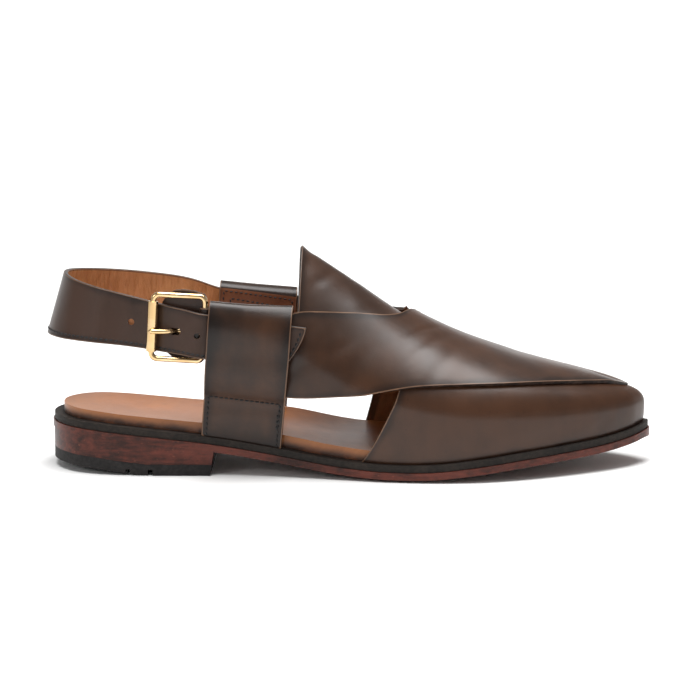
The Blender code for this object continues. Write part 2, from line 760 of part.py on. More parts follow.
def make_buckle():
    """Gold frame with a roller on its rear bar, and the prong hinged on its front bar."""
    corners = [(1, -1, -90), (1, 1, 0), (-1, 1, 90), (-1, -1, 180)]
    path = []
    for a, b, start in corners:
        middle = Vector((a * (BUCKLE_REACH - BUCKLE_CORNER), b * (BUCKLE_HALF_HIGH - BUCKLE_CORNER), 0))
        for step in range(5):
            angle = math.radians(start + step * 22.5)
            path.append(middle + Vector((math.cos(angle), math.sin(angle), 0)) * BUCKLE_CORNER)
    frame = wire("buckle_frame", path, WIRE / 2, closed=True)
    upright = Matrix.Rotation(math.pi / 2, 4, "X")
    rear = Matrix.Translation((-BUCKLE_REACH, 0, 0)) @ upright
    roller = ring("buckle_roller", WIRE / 2 + GAP, ROLLER_WIDE / 2, ROLLER_LONG, rear, 16)

    path = [Vector((a, PRONG_UP, c)) for a, c in smooth_path(PRONG, 22)]
    prong = wire("buckle_prong", path, PRONG_WIDE / 2)
    room_path = [path[0] * 2 - path[1], *path, path[-1] * 2 - path[-2]]
    room = wire("prong_room", room_path, PRONG_WIDE / 2 + 0.45 * MM, collection="cutters")
    hinge = Matrix.Translation((BUCKLE_REACH, PRONG_UP, 0)) @ upright
    join(prong, ring("prong_eye", WIRE / 2 + GAP, WIRE / 2 + GAP + 0.9 * MM, 2.8 * MM, hinge))
    place = buckle_matrix()
    for obj in (frame, roller, prong, room):
        obj.data.transform(place)
    return frame, roller, prong, room


def smooth_path(points, count):
    run = np.concatenate([[0], np.cumsum(np.linalg.norm(np.diff(points, axis=0), axis=1))])
    rows = np.column_stack([run, points])
    return [(table_value(rows, 1, s), table_value(rows, 2, s)) for s in np.linspace(0, run[-1], count)]


def make_chape(prong_room):
    """The leather that holds the buckle: a tab behind it, and a strip folded round its hinge bar."""
    place = buckle_matrix()

    def tab_place(u, v):
        row = TAB[0, 0] + (TAB[-1, 0] - TAB[0, 0]) * u
        y, low, high = (np.interp(row, TAB[:, 0], TAB[:, c]) for c in (1, 2, 3))
        point = place @ Vector((row - BUCKLE_MIDDLE.x, low + (high - low) * v, 0))
        return point.x, y, point.z

    tab = to_object(grid_mesh(22, 3, tab_place), "buckle_chape")
    modify(tab, "SOLIDIFY", thickness=TAB_THICK, offset=-1, use_even_offset=True)
    bake(tab)
    wraps = []
    for low, high in ((-WRAP_HALF_HIGH, PRONG_UP - WRAP_SLOT), (PRONG_UP + WRAP_SLOT, WRAP_HALF_HIGH)):
        rings = [[place @ Vector((BUCKLE_REACH + a, b, c)) for a, c in WRAP] for b in (low, high)]
        wraps.append(loft("wrap", rings))
    join(tab, *wraps)
    hinge = place @ Matrix.Translation((BUCKLE_REACH, PRONG_UP, 0)) @ Matrix.Rotation(math.pi / 2, 4, "X")
    cut(tab, cylinder("eye_room", 3 * MM, 2 * (WRAP_SLOT - GAP), hinge, collection="cutters"), prong_room)
    bake(tab)
    return tab


def main():
    for obj in list(bpy.data.objects):
        bpy.data.objects.remove(obj, do_unlink=True)
    leather = material("dark_leather", (0.075, 0.032, 0.018), 0.35)
    lining = material("tan_leather", (0.45, 0.22, 0.10), 0.55)
    sole_leather = material("sole_leather", (0.16, 0.045, 0.025), 0.45)
    rubber = material("black_rubber", (0.03, 0.03, 0.03), 0.7)
    gold = material("gold_brass", (0.83, 0.62, 0.28), 0.22, 1.0)

    outsole, welt, stack, top_piece, insole = make_sole()
    welt_room = make_welt_room()
    upper = make_upper(welt_room)
    tongue = make_tongue()
    loops = [
        make_loop(LATERAL, "ankle_loop_lateral", welt_room),
        make_loop(MEDIAL, "ankle_loop_medial", welt_room),
    ]
    frame, roller, prong, prong_room = make_buckle()
    strap = make_strap(prong_room)
    chape = make_chape(prong_room)
    looks = [
        (sole_leather, (outsole, stack)),
        (rubber, (welt, top_piece)),
        (lining, (insole,)),
        (leather, (upper, tongue, *loops, strap, chape)),
        (gold, (frame, roller, prong)),
    ]
    parts = []
    for made, objects in looks:
        for obj in objects:
            finish(obj, made)
            parts.append(obj)
    corners = np.array([vert.co for obj in parts for vert in obj.data.vertices])
    low, high = corners.min(axis=0), corners.max(axis=0)
    middle = Matrix.Translation((-(low[0] + high[0]) / 2, -(low[1] + high[1]) / 2, 0))
    for obj in parts:
        obj.data.transform(middle)


main()
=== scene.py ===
# %% [markdown]
# # Dressing a peshawari chappal
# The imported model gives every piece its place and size. This lesson lays fine leather, stitches, edges
# and metal over it, one piece at a time, and each piece stands for the plain solid that it covers.

import math

import bmesh
import bpy
import numpy as np
from mathutils import Matrix, Vector


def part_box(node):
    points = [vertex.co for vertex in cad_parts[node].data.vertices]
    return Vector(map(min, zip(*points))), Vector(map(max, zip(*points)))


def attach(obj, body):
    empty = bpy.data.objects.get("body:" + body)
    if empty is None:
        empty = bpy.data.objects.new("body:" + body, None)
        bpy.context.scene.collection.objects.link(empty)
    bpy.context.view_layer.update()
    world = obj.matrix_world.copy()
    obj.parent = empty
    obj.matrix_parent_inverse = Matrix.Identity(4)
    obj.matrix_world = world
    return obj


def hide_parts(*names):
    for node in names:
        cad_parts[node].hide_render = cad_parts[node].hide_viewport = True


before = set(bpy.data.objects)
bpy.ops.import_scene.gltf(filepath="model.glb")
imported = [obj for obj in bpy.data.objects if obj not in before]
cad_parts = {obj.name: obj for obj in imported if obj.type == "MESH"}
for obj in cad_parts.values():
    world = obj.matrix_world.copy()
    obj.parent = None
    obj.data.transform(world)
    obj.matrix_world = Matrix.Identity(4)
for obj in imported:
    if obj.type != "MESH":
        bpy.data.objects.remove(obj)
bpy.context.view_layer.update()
MM = 0.001
LATERAL, MEDIAL = -1, 1
print("nodes:", ", ".join(sorted(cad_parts)))

# %% [markdown]
# ## The last
# Shoemakers shape leather on a last, a solid foot form. All of the upper here is laid on one too. Short
# tables give the sole's outline, the side view and the sections, and smooth curves run through their
# rows. They are in millimetres from the back of the heel, with the outer side of the shoe at -Y.

# %% Tables of the last and the sole
# Sole outline, seen from above: x, lateral edge, medial edge
OUTLINE = np.array([
    (0, 0, 0), (1.2, -8.5, 8.5), (5, -17, 17), (14, -26.5, 26.5), (30, -32.5, 32.5), (50, -34.5, 34),
    (80, -35, 32.5), (110, -37.5, 29.5), (140, -43, 30.5), (170, -49.5, 36.5), (195, -51.5, 43),
    (215, -50, 45.5), (235, -44.5, 43.5), (255, -36, 36.5), (272, -27.2, 28.8), (286, -18.2, 20.2),
    (296, -9.4, 11.8), (302, 1.5, 1.5),
]) * MM
# Seam between outsole and welt, seen from the side: x, z
SOLE_LINE = np.array([
    (0, 23.4), (19, 22.3), (47, 19.6), (85, 15.3), (117, 10.4), (142, 6.6), (160, 5.1), (176, 4.8),
    (192, 5.3), (210, 7.2), (232, 9.6), (255, 11.5), (277, 13.4), (292, 15.6), (302, 17.8),
]) * MM
# Padding of the insole over the welt: x, thickness
INSOLE_THICK = np.array([(0, 5.2), (60, 5.4), (110, 6.4), (160, 5.6), (220, 4.4), (300, 3.8)]) * MM
# Underside of the heel: x, z
HEEL_BASE = np.array([(0, 4.2), (10, 3.9), (25, 2.8), (40, 1.2), (50, 0), (82, 0)]) * MM
# Sections by feather station: x, crest x, side height, bulge (lateral, medial), fullness (side, crest)
LAST = np.array([
    (60, 60, 66, 3.6, 5.0, 0.45, 0.50), (95, 95, 66, 4.2, 7.4, 0.42, 0.46),
    (125, 125, 60, 3.4, 7.4, 0.30, 0.36), (150, 150, 46, 2.6, 5.6, 0.30, 0.34),
    (178, 178, 36, 1.8, 3.0, 0.34, 0.40), (200, 200, 32, 1.4, 1.6, 0.42, 0.46),
    (225, 221, 30, 1.2, 1.2, 0.50, 0.52), (250, 242, 29, 1.1, 1.1, 0.55, 0.55),
    (275, 261, 29, 1.0, 1.0, 0.58, 0.56), (290, 272, 29.5, 0.8, 0.8, 0.60, 0.56),
    (297, 279, 30, 0.6, 0.6, 0.60, 0.56),
]) * np.array([MM, MM, MM, MM, MM, 1, 1])
# Crest of the last: x, y, z
CREST = np.array([
    (60, 0, 138), (95, 0.5, 127), (126, 1, 110.3), (150, 2.5, 94.8), (178, 3.5, 75.8), (202, 4, 63.6),
    (221, 4, 56.4), (242, 3.5, 49.7), (261, 2.5, 45.0), (279, 2, 40.4),
]) * MM
WELT_THICK, WELT_INSET, OUTSOLE_THICK, RUBBER_THICK = 3.6 * MM, 0.8 * MM, 3.5 * MM, 5.5 * MM
FEATHER_INSET, FEATHER_DIP = 5.0 * MM, 0.8 * MM
# Layers that lie on each other are this far apart
CLEAR = 0.1 * MM
SOLE_SPAN, INSOLE_SPAN, HEEL_SPAN = (0.004, 0.996), (0.006, 0.985), (0.004, 0.34)
print(f"sole {OUTLINE[-1, 0] / MM:.0f} mm long, {np.ptp(OUTLINE[:, 1:]) / MM:.0f} mm across")

# %% Curves through the tables
def table_value(rows, column, x):
    """A table's column at each x, on a smooth curve through its rows."""
    stations, values = rows[:, 0], rows[:, column]
    slopes = np.gradient(values, stations)
    i = np.clip(np.searchsorted(stations, x) - 1, 0, len(stations) - 2)
    step = stations[i + 1] - stations[i]
    t = np.clip((x - stations[i]) / step, 0.0, 1.0)
    start = (2 * t**3 - 3 * t**2 + 1) * values[i] + (t**3 - 2 * t**2 + t) * step * slopes[i]
    end = (3 * t**2 - 2 * t**3) * values[i + 1] + (t**3 - t**2) * step * slopes[i + 1]
    return start + end


def run_along(points):
    """How far along a chain of points each one lies."""
    return np.concatenate([[0], np.cumsum(np.linalg.norm(np.diff(points, axis=0), axis=1))])


def smooth_path(points, count):
    """Points evenly spaced on a smooth curve through a few."""
    points = np.asarray(points, float)
    run = run_along(points)
    rows = np.column_stack([run, points])
    along = np.linspace(0, run[-1], count)
    return np.column_stack([table_value(rows, c + 1, along) for c in range(points.shape[1])])


def closed_curve(points, samples):
    wrapped = np.vstack([points[-2:], points, points[:3]])
    run = run_along(wrapped)
    rows = np.column_stack([run, wrapped])
    along = np.linspace(run[2], run[-3], samples, endpoint=False)
    return np.column_stack([table_value(rows, 1, along), table_value(rows, 2, along)])


SOLE_CURVE = closed_curve(np.vstack([OUTLINE[:, [0, 1]], OUTLINE[-2:0:-1][:, [0, 2]]]), samples=480)
TIP = int(np.argmax(SOLE_CURVE[:, 0]))
EDGES = {}


def edge_line(side, inset):
    """One side of the outline from heel to toe, moved in, and each point's share of the way."""
    if (side, inset) not in EDGES:
        run = np.roll(SOLE_CURVE, -1, axis=0) - np.roll(SOLE_CURVE, 1, axis=0)
        inward = np.column_stack([-run[:, 1], run[:, 0]]) / np.linalg.norm(run, axis=1)[:, None]
        moved = SOLE_CURVE + inward * inset
        line = moved[: TIP + 1] if side == LATERAL else np.vstack([moved[TIP:], moved[:1]])[::-1]
        shares = run_along(line)
        EDGES[side, inset] = line, shares / shares[-1]
    return EDGES[side, inset]


def edge_point(side, inset, share):
    line, shares = edge_line(side, inset)
    return np.interp(share, shares, line[:, 0]), np.interp(share, shares, line[:, 1])


def breadth(side, inset, x):
    """How far out, in y, the outline lies on one side at x."""
    line = edge_line(side, inset)[0]
    return np.where(x >= line[-1, 0], line[-1, 1], np.interp(x, line[:, 0], line[:, 1]))


FEATHER_TIP_X = edge_line(LATERAL, FEATHER_INSET)[0][-1, 0]
sole_low = Vector(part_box("outsole")[0])
# From the tables' own zero, at the heel, to the frame's, under the middle of the shoe
heel_end_x = edge_point(LATERAL, 0, SOLE_SPAN[0])[0]
TO_FRAME = Vector((sole_low.x - heel_end_x, sole_low.y - SOLE_CURVE[:, 1].min(), 0))
print("tables start at", [round(c / MM, 2) for c in TO_FRAME], "mm in the frame")

# %% The last as a function
def bezier(p0, p1, p2, p3, t):
    return (1 - t) ** 3 * p0 + 3 * (1 - t) ** 2 * t * p1 + 3 * (1 - t) * t**2 * p2 + t**3 * p3


def sole_seam(x):
    return table_value(SOLE_LINE, 1, x)


def welt_top(x):
    return sole_seam(x) + WELT_THICK


def on_last(x, turn):
    """Points of the last. x is the feather station. turn runs from -2, the lateral feather, over -1, the
    side at its widest, 0, the crest, and 1 to 2, the medial feather."""
    x, turn = np.broadcast_arrays(np.asarray(x, float), np.asarray(turn, float))
    medial = turn > 0
    feather_y = np.where(medial, breadth(MEDIAL, FEATHER_INSET, x), breadth(LATERAL, FEATHER_INSET, x))
    crest_x = table_value(LAST, 1, x)
    crest_y, crest_z = table_value(CREST, 1, crest_x), table_value(CREST, 2, crest_x)
    out_x, out_y = x - crest_x, feather_y - crest_y
    reach = np.hypot(out_x, out_y)
    side_z, foot_z = table_value(LAST, 2, x), welt_top(x) - FEATHER_DIP
    bulge = np.where(medial, table_value(LAST, 4, x), table_value(LAST, 3, x))
    side_full, crest_full = table_value(LAST, 5, x), table_value(LAST, 6, x)
    widest = reach + bulge
    over = 1 - abs(turn)
    under = 2 - abs(turn)
    crest_rise, side_rise = crest_z - side_z, side_z - foot_z
    ahead_x = np.minimum(crest_x + MM, CREST[-1, 0])
    climb = table_value(CREST, 2, ahead_x) - table_value(CREST, 2, crest_x - MM)
    slope = climb / (ahead_x - crest_x + MM)
    shoulder_z = crest_z + slope * out_x / reach * crest_full * widest
    r = np.where(
        abs(turn) <= 1,
        bezier(widest, widest, crest_full * widest, 0.0, over),
        bezier(reach, reach + bulge * 0.8, widest, widest, under),
    )
    z = np.where(
        abs(turn) <= 1,
        bezier(side_z, side_z + side_full * crest_rise, shoulder_z, crest_z, over),
        bezier(foot_z, foot_z + side_rise * 0.2, side_z - side_rise * 0.4, side_z, under),
    )
    return np.stack([crest_x + out_x / reach * r, crest_y + out_y / reach * r, z], axis=-1)


def last_normal(x, turn):
    x = np.asarray(x, float)
    across = on_last(x, turn + 0.02) - on_last(x, turn - 0.02)
    along = on_last(np.minimum(x + 0.5 * MM, FEATHER_TIP_X), turn) - on_last(x - 0.5 * MM, turn)
    normal = np.cross(along, across)
    return normal / np.linalg.norm(normal, axis=-1, keepdims=True)


def turn_at_height(x, side, height):
    """The turn round the last, 0 at the crest to 2 at the feather, where it stands at each height."""
    high, low = np.zeros_like(x), np.full_like(x, 2.0)
    for _ in range(24):
        middle = (high + low) / 2
        above = on_last(x, side * middle)[..., 2] > height
        high, low = np.where(above, middle, high), np.where(above, low, middle)
    return side * (high + low) / 2


def beside_last(side, x, z, offset):
    """Points of the last's side at these heights, moved this far outside it."""
    x, z, offset = (np.asarray(a, float) for a in np.broadcast_arrays(x, z, offset))
    turn = turn_at_height(x, side, z)
    return on_last(x, turn) + last_normal(x, turn) * offset[..., None]


print(f"last crest over the notch at {on_last(180.5 * MM, 0)[2] / MM:.1f} mm")

# %% [markdown]
# ## Sheets of leather
# Leather is a sheet with a grain side, a lined side and a cut edge. A grid is bent over the last,
# Solidify grows the wall inwards and Bevel rounds the cut edges. Each point also keeps its distance to
# the nearest cut edge, because polish and burnish follow the edges of a panel.

# %% Helpers for sheets
GRAIN, BACK, CUT = 0, 1, 2
# Sides of a sheet that count as cut: all of them, or all but the front one, which is sewn under
ALL_EDGES, FREE_EDGES = ("rear", "front", "low", "high"), ("rear", "low", "high")


def bent_grid(along, across, place):
    """A grid whose point at (u, v), both 0 to 1, stands at place(u, v)."""
    bm = bmesh.new()
    bmesh.ops.create_grid(bm, x_segments=along, y_segments=across, size=0.5)
    flat = np.array([vert.co[:2] for vert in bm.verts]) + 0.5
    for vert, point in zip(bm.verts, place(flat[:, 0], flat[:, 1])):
        vert.co = point
    return bm, flat


def keep_edge_distance(bm, along, across, cut_sides):
    """Stores how far each point of a bent grid lies from its cut sides, measured over the leather."""
    net = np.array([vert.co for vert in bm.verts]).reshape(across + 1, along + 1, 3)
    steps_u = np.linalg.norm(np.diff(net, axis=1), axis=2)
    steps_v = np.linalg.norm(np.diff(net, axis=0), axis=2)
    run_u = np.hstack([np.zeros((across + 1, 1)), np.cumsum(steps_u, axis=1)])
    run_v = np.vstack([np.zeros((1, along + 1)), np.cumsum(steps_v, axis=0)])
    reach = {"rear": run_u, "front": run_u[:, -1:] - run_u, "low": run_v, "high": run_v[-1:] - run_v}
    far = np.minimum.reduce([reach[side] for side in cut_sides]).ravel()
    layer = bm.verts.layers.float.new("edge_mm")
    for vert, distance in zip(bm.verts, far):
        vert[layer] = distance / MM


def add_object(name, data):
    made = bpy.data.objects.new(name, data)
    bpy.context.scene.collection.objects.link(made)
    return made


def from_bmesh(bm, name):
    mesh = bpy.data.meshes.new(name)
    bm.to_mesh(mesh)
    bm.free()
    return add_object(name, mesh)


def to_piece(bm, name, finishes, smooth_below=40):
    """Closes a piece: into the frame, shaded smooth except over sharp edges, riding on the shoe."""
    bmesh.ops.translate(bm, verts=bm.verts, vec=TO_FRAME)
    piece = from_bmesh(bm, name)
    piece.data.shade_smooth()
    piece.data.set_sharp_from_angle(angle=math.radians(smooth_below))
    for finish in finishes:
        piece.data.materials.append(finish)
    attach(piece, "root")
    return piece


def modify(piece, kind, **settings):
    modifier = piece.modifiers.new(kind.title(), kind)
    for key, value in settings.items():
        setattr(modifier, key, value)
    return modifier


def soften(piece, width, segments=3):
    modify(
        piece, "BEVEL", width=width, segments=segments, limit_method="ANGLE", angle_limit=math.radians(50),
        harden_normals=True,
    )


def bake(piece):
    """Puts what the modifiers made into the mesh, and clears them."""
    bpy.context.view_layer.update()
    graph = bpy.context.evaluated_depsgraph_get()
    baked = bpy.data.meshes.new_from_object(piece.evaluated_get(graph))
    piece.modifiers.clear()
    piece.data = baked


def thicken(piece, thick, round_edge=0.45 * MM, **settings):
    """Grows a sheet inwards to its thickness, and rounds its cut edges."""
    modify(
        piece, "SOLIDIFY", thickness=thick, offset=-1, material_offset=BACK, material_offset_rim=CUT,
        **settings,
    )
    soften(piece, round_edge)


def triangles(piece):
    bpy.context.view_layer.update()
    mesh = piece.evaluated_get(bpy.context.evaluated_depsgraph_get()).data
    return sum(len(face.vertices) - 2 for face in mesh.polygons)


def stand_for(piece, node):
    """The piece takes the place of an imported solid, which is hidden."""
    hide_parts(node)
    print(piece.name, triangles(piece), "triangles")
    return piece


print("grain, back and cut edge are material slots", GRAIN, BACK, CUT)

# %% [markdown]
# ## Shader expressions
# A finish is easier to read as a sum than as a chart of nodes. `Signal` wraps a socket so that `1 - mask`
# adds the Math node for it, and `Finish` holds one material and adds any other node.

# %% A small language for finishes
class Signal:
    """A number that varies over the surface, which can be added, multiplied and so on."""

    def __init__(self, finish, socket):
        self.finish, self.socket = finish, socket

    def math(self, operation, *values):
        return self.finish.node("ShaderNodeMath", {"operation": operation}, dict(enumerate(values)))

    def __add__(self, other):
        return self.math("ADD", self, other)

    def __sub__(self, other):
        return self.math("SUBTRACT", self, other)

    def __rsub__(self, other):
        return self.math("SUBTRACT", other, self)

    def __mul__(self, other):
        return self.math("MULTIPLY", self, other)

    def between(self, low, high):
        """0 at low, 1 at high, with soft ends."""
        settings = {"interpolation_type": "SMOOTHSTEP"}
        inputs = {"Value": self, "From Min": low, "From Max": high}
        return self.finish.node("ShaderNodeMapRange", settings, inputs)

    __radd__, __rmul__ = __add__, __mul__


class Finish:
    """One material: what is the same all over is set on the shader, and the rest is wired to it."""

    def __init__(self, name, **constants):
        self.material = bpy.data.materials.new(name)
        self.material.use_nodes = True
        self.tree = self.material.node_tree
        self.shader = self.tree.nodes["Principled BSDF"]
        for key, value in constants.items():
            self.shader.inputs[key.replace("_", " ")].default_value = value
        self.place = self.node("ShaderNodeTexCoord", {}, {}, output="Object")

    def node(self, kind, settings, inputs, output=0):
        made = self.tree.nodes.new(kind)
        for key, value in settings.items():
            setattr(made, key, value)
        for key, value in inputs.items():
            if isinstance(value, Signal):
                self.tree.links.new(value.socket, made.inputs[key])
            else:
                made.inputs[key].default_value = value
        return Signal(self, made.outputs[output])

    def feed(self, socket, value):
        self.tree.links.new(value.socket, self.shader.inputs[socket])

    def noise(self, size, detail=3.0, stretch=(1, 1, 1), turn=(0, 0, 0), seed=0.0, rough=0.5):
        """Cloudy noise, 0 to 1, with blobs of about this size in metres."""
        shift = (seed, seed * 0.7, seed * 0.3)
        mapped = {"Vector": self.place, "Location": shift, "Rotation": turn, "Scale": stretch}
        placed = self.node("ShaderNodeMapping", {}, mapped)
        inputs = {"Vector": placed, "Scale": 0.5 / size, "Detail": detail, "Roughness": rough}
        return self.node("ShaderNodeTexNoise", {}, inputs)

    def cells(self, size):
        """Distance to the nearest of many scattered points, for pores."""
        return self.node("ShaderNodeTexVoronoi", {}, {"Vector": self.place, "Scale": 1 / size})

    def stored(self, name):
        return self.node("ShaderNodeAttribute", {"attribute_name": name}, {}, output="Fac")

    def mix(self, amount, first, second):
        inputs = {0: amount, 6: first, 7: second}
        return self.node("ShaderNodeMix", {"data_type": "RGBA"}, inputs, output=2)

    def bump(self, height, distance, strength):
        """Feeds the normal with a height, 0 to 1, that stands this many metres tall."""
        inputs = {"Height": height, "Distance": distance, "Strength": strength}
        self.feed("Normal", self.node("ShaderNodeBump", {}, inputs))


def shade(red, green, blue):
    """An 8-bit screen colour as a linear one."""
    def linear(c):
        c = c / 255
        return c / 12.92 if c <= 0.04045 else ((c + 0.055) / 1.055) ** 2.4

    return (linear(red), linear(green), linear(blue), 1)


print("black leather would be", [round(c, 3) for c in shade(20, 16, 14)])

# %% [markdown]
# ## Finishes
# The upper is burnished calf: warm brown in the open, nearly black where the maker worked dye into the
# edges, folds and seams. A wax coat lies over it. The colours are mixed from cloudy noise of three sizes,
# and the stored distance to the cut edge drives the burnish and a painted highlight along each cut edge.

# %% Burnished leather
def burnished_leather(name, deep, warm, lift, burnish=5.0, rough=0.3, seed=0.0, dark_edge=0.75):
    finish = Finish(name, Coat_Roughness=0.24, Specular_IOR_Level=0.26)
    broad = finish.noise(0.030, 3, seed=seed)
    middle = finish.noise(0.009, 4, seed=seed + 3)
    streak = finish.noise(0.004, 3, stretch=(1, 1, 0.3), turn=(0, 0.25, 0), seed=seed)
    patina = (broad * 0.55 + middle * 0.27 + streak * 0.18).between(0.34, 0.66)
    colour = finish.mix(patina, deep, warm)
    colour = finish.mix((1 - patina) * 0.22, colour, lift)
    ragged = finish.stored("edge_mm") + (middle - 0.5) * 6
    worked = 1 - ragged.between(0.0, burnish)
    colour = finish.mix(worked * dark_edge, colour, shade(20, 12, 9))
    speck = finish.noise(0.0009, 2, seed=seed).between(0.66, 0.78)
    colour = finish.mix(speck * 0.25, colour, shade(28, 17, 12))
    # Painted highlight: a pale line along each cut edge, where the edge would catch the light
    painted_edge_highlight = 1 - finish.stored("edge_mm").between(0.25, 0.75)
    colour = finish.mix(painted_edge_highlight * (streak + 0.15), colour, shade(132, 100, 78))
    finish.feed("Base Color", colour)
    finish.feed("Roughness", middle * 0.14 + streak * 0.08 + (rough - 0.09))
    finish.feed("Coat Weight", 0.22 - worked * 0.1)
    pores = finish.cells(0.00055).between(0.05, 0.5)
    grain = finish.noise(0.00028, 2)
    drape = finish.noise(0.006, 2, seed=seed + 8)
    finish.bump(pores * 0.28 + grain * 0.3 + drape * 1.6, 0.00012, 0.5)
    return finish.material


upper_grain = burnished_leather("upper_grain", shade(43, 25, 14), shade(67, 41, 25), shade(56, 36, 24))
loop_grain = burnished_leather(
    "loop_grain", shade(24, 14, 9), shade(72, 44, 26), shade(45, 29, 20), burnish=9.0, seed=5.0,
    dark_edge=0.88,
)
# Painted light: a lighter, warmer copy of the loop leather for the loops' inner faces, against their shade
loop_inside_painted_light = burnished_leather(
    "loop_inside_painted_light", shade(84, 46, 28), shade(122, 74, 48), shade(92, 56, 38), burnish=1.5, seed=7.0,
    dark_edge=0.4,
)
strap_grain = burnished_leather(
    "strap_grain", shade(42, 28, 21), shade(61, 41, 31), shade(60, 44, 36), burnish=4.0, seed=9.0,
    rough=0.36,
)
print("four burnished leathers")

# %% [markdown]
# Linings are plain tan cowhide, with pores and the small diagonal pulls that a lining gets when a strap
# is bent round the heel. The insole is the same hide, thicker and waxed, burnt dark where it meets the
# welt.

# %% Linings and insole
def tan_lining(name, pale, brown, pull=0.0, border=2.2, rough=0.5):
    finish = Finish(name, Specular_IOR_Level=0.4)
    cloud = finish.noise(0.020, 4)
    fleck = finish.noise(0.0022, 3)
    colour = finish.mix((cloud * 0.7 + fleck * 0.3).between(0.3, 0.7), brown, pale)
    edge = 1 - finish.stored("edge_mm").between(border * 0.6, border)
    colour = finish.mix(edge * 0.7, colour, shade(66, 38, 24))
    finish.feed("Base Color", colour)
    finish.feed("Roughness", fleck * 0.16 + (rough - 0.08))
    pulls = finish.noise(0.0016, 2, stretch=(1, 1, 0.2), turn=(0, 0.6, 0))
    pores = finish.cells(0.0006).between(0.05, 0.5)
    finish.bump(pulls * pull + pores * 0.3 + fleck * 0.25, 0.0006, 0.6)
    return finish.material


strap_lining = tan_lining("strap_lining", shade(196, 134, 84), shade(166, 104, 60), pull=4.0, border=1.0)
upper_lining = tan_lining("upper_lining", shade(164, 110, 68), shade(136, 86, 50), border=5.0)


def insole_leather():
    finish = Finish("insole_leather", Coat_Roughness=0.3, Specular_IOR_Level=0.45)
    cloud = finish.noise(0.026, 4)
    fleck = finish.noise(0.0030, 4)
    waxed = (cloud * 0.65 + fleck * 0.35).between(0.3, 0.7)
    colour = finish.mix(waxed, shade(128, 74, 34), shade(160, 99, 50))
    foot = finish.stored("edge_mm") + (finish.noise(0.006, 4) - 0.5) * 3.5
    burnt = 1 - foot.between(0.8, 4.6)
    colour = finish.mix(burnt * 0.94, colour, shade(46, 23, 12))
    singe = (1 - foot.between(2.5, 7.0)) * fleck.between(0.45, 0.65)
    colour = finish.mix(singe * 0.5, colour, shade(112, 62, 32))
    finish.feed("Base Color", colour)
    finish.feed("Roughness", cloud * 0.14 + 0.34)
    finish.feed("Coat Weight", 0.18 - burnt * 0.1)
    ripple = finish.noise(0.0035, 2, stretch=(1, 0.4, 1))
    pores = finish.cells(0.0007).between(0.05, 0.5)
    finish.bump(ripple * (1 - foot.between(3.0, 9.0)) * 1.4 + pores * 0.25 + fleck * 0.2, 0.0004, 0.6)
    return finish.material


insole_top = insole_leather()
print("two linings and an insole")

# %% [markdown]
# Cut edges are dyed and waxed. The sole's edge is mahogany stain rubbed on by hand, so it is mottled and
# streaked along the sole. The welt and the heel's last layer are grey-black rubber, dull and slightly
# dusty.

# %% Edges, sole and rubber
def edge_paint():
    finish = Finish("edge_paint", Coat_Weight=0.1, Specular_IOR_Level=0.45)
    fleck = finish.noise(0.0014, 3)
    finish.feed("Base Color", finish.mix(fleck.between(0.35, 0.7), shade(24, 15, 11), shade(58, 40, 30)))
    finish.feed("Roughness", fleck * 0.2 + 0.36)
    finish.bump(finish.noise(0.0005, 2), 0.0001, 0.5)
    return finish.material


def stained_sole(name, red, dark, rough=0.36):
    finish = Finish(name, Coat_Roughness=0.25, Specular_IOR_Level=0.25)
    rub = finish.noise(0.010, 5, stretch=(0.45, 1, 1.3), rough=0.65)
    mottle = finish.noise(0.0016, 4, stretch=(0.6, 1, 1), rough=0.7)
    fibre = finish.noise(0.0008, 2, stretch=(0.12, 1, 1.2))
    stain = (rub * 0.5 + mottle * 0.32 + fibre * 0.18).between(0.38, 0.62)
    colour = finish.mix(stain, dark, red)
    bare = finish.noise(0.0007, 3, seed=4.0).between(0.64, 0.76)
    colour = finish.mix(bare * 0.28, colour, shade(150, 84, 62))
    finish.feed("Base Color", colour)
    finish.feed("Roughness", mottle * 0.25 + (rough - 0.1))
    finish.feed("Coat Weight", stain * 0.14)
    finish.bump(fibre * 0.5 + mottle * 0.5, 0.00025, 0.6)
    return finish.material


def dull_rubber(name, tone, pale, rough=0.62):
    finish = Finish(name, Specular_IOR_Level=0.22)
    dust = finish.noise(0.007, 5, rough=0.65)
    fleck = finish.noise(0.0009, 3)
    finish.feed("Base Color", finish.mix((dust * 0.6 + fleck * 0.4).between(0.38, 0.68), tone, pale))
    finish.feed("Roughness", dust * 0.2 + (rough - 0.1))
    finish.bump(finish.noise(0.0004, 3) * 0.6 + fleck * 0.4, 0.00018, 0.6)
    return finish.material


cut_edge = edge_paint()
sole_edge = stained_sole("sole_edge", shade(95, 40, 26), shade(42, 19, 13))
sole_under = stained_sole("sole_under", shade(96, 52, 38), shade(66, 36, 28), rough=0.5)
welt_rubber = dull_rubber("welt_rubber", shade(26, 22, 19), shade(46, 39, 34))
heel_rubber = dull_rubber("heel_rubber", shade(24, 22, 22), shade(44, 41, 40))
print("edge paint, two stained soles, two rubbers")

# %% Thread and brass
def waxed_thread():
    finish = Finish("waxed_thread", Specular_IOR_Level=0.4)
    ply = finish.noise(0.0003, 2)
    finish.feed("Base Color", finish.mix(ply, shade(9, 8, 8), shade(26, 22, 21)))
    finish.feed("Roughness", ply * 0.2 + 0.42)
    finish.bump(ply, 0.0001, 0.6)
    return finish.material


def pale_brass():
    finish = Finish("pale_brass", Metallic=1.0)
    film = finish.noise(0.004, 3)
    scratch = finish.noise(0.0005, 3, stretch=(1, 1, 0.08), seed=2.0)
    colour = finish.mix(film.between(0.35, 0.7), shade(224, 188, 136), shade(238, 208, 162))
    finish.feed("Base Color", colour)
    finish.feed("Roughness", film * 0.07 + scratch * 0.06 + 0.08)
    finish.bump(scratch, 0.00003, 0.35)
    return finish.material


thread = waxed_thread()
brass = pale_brass()
print("thread and brass")

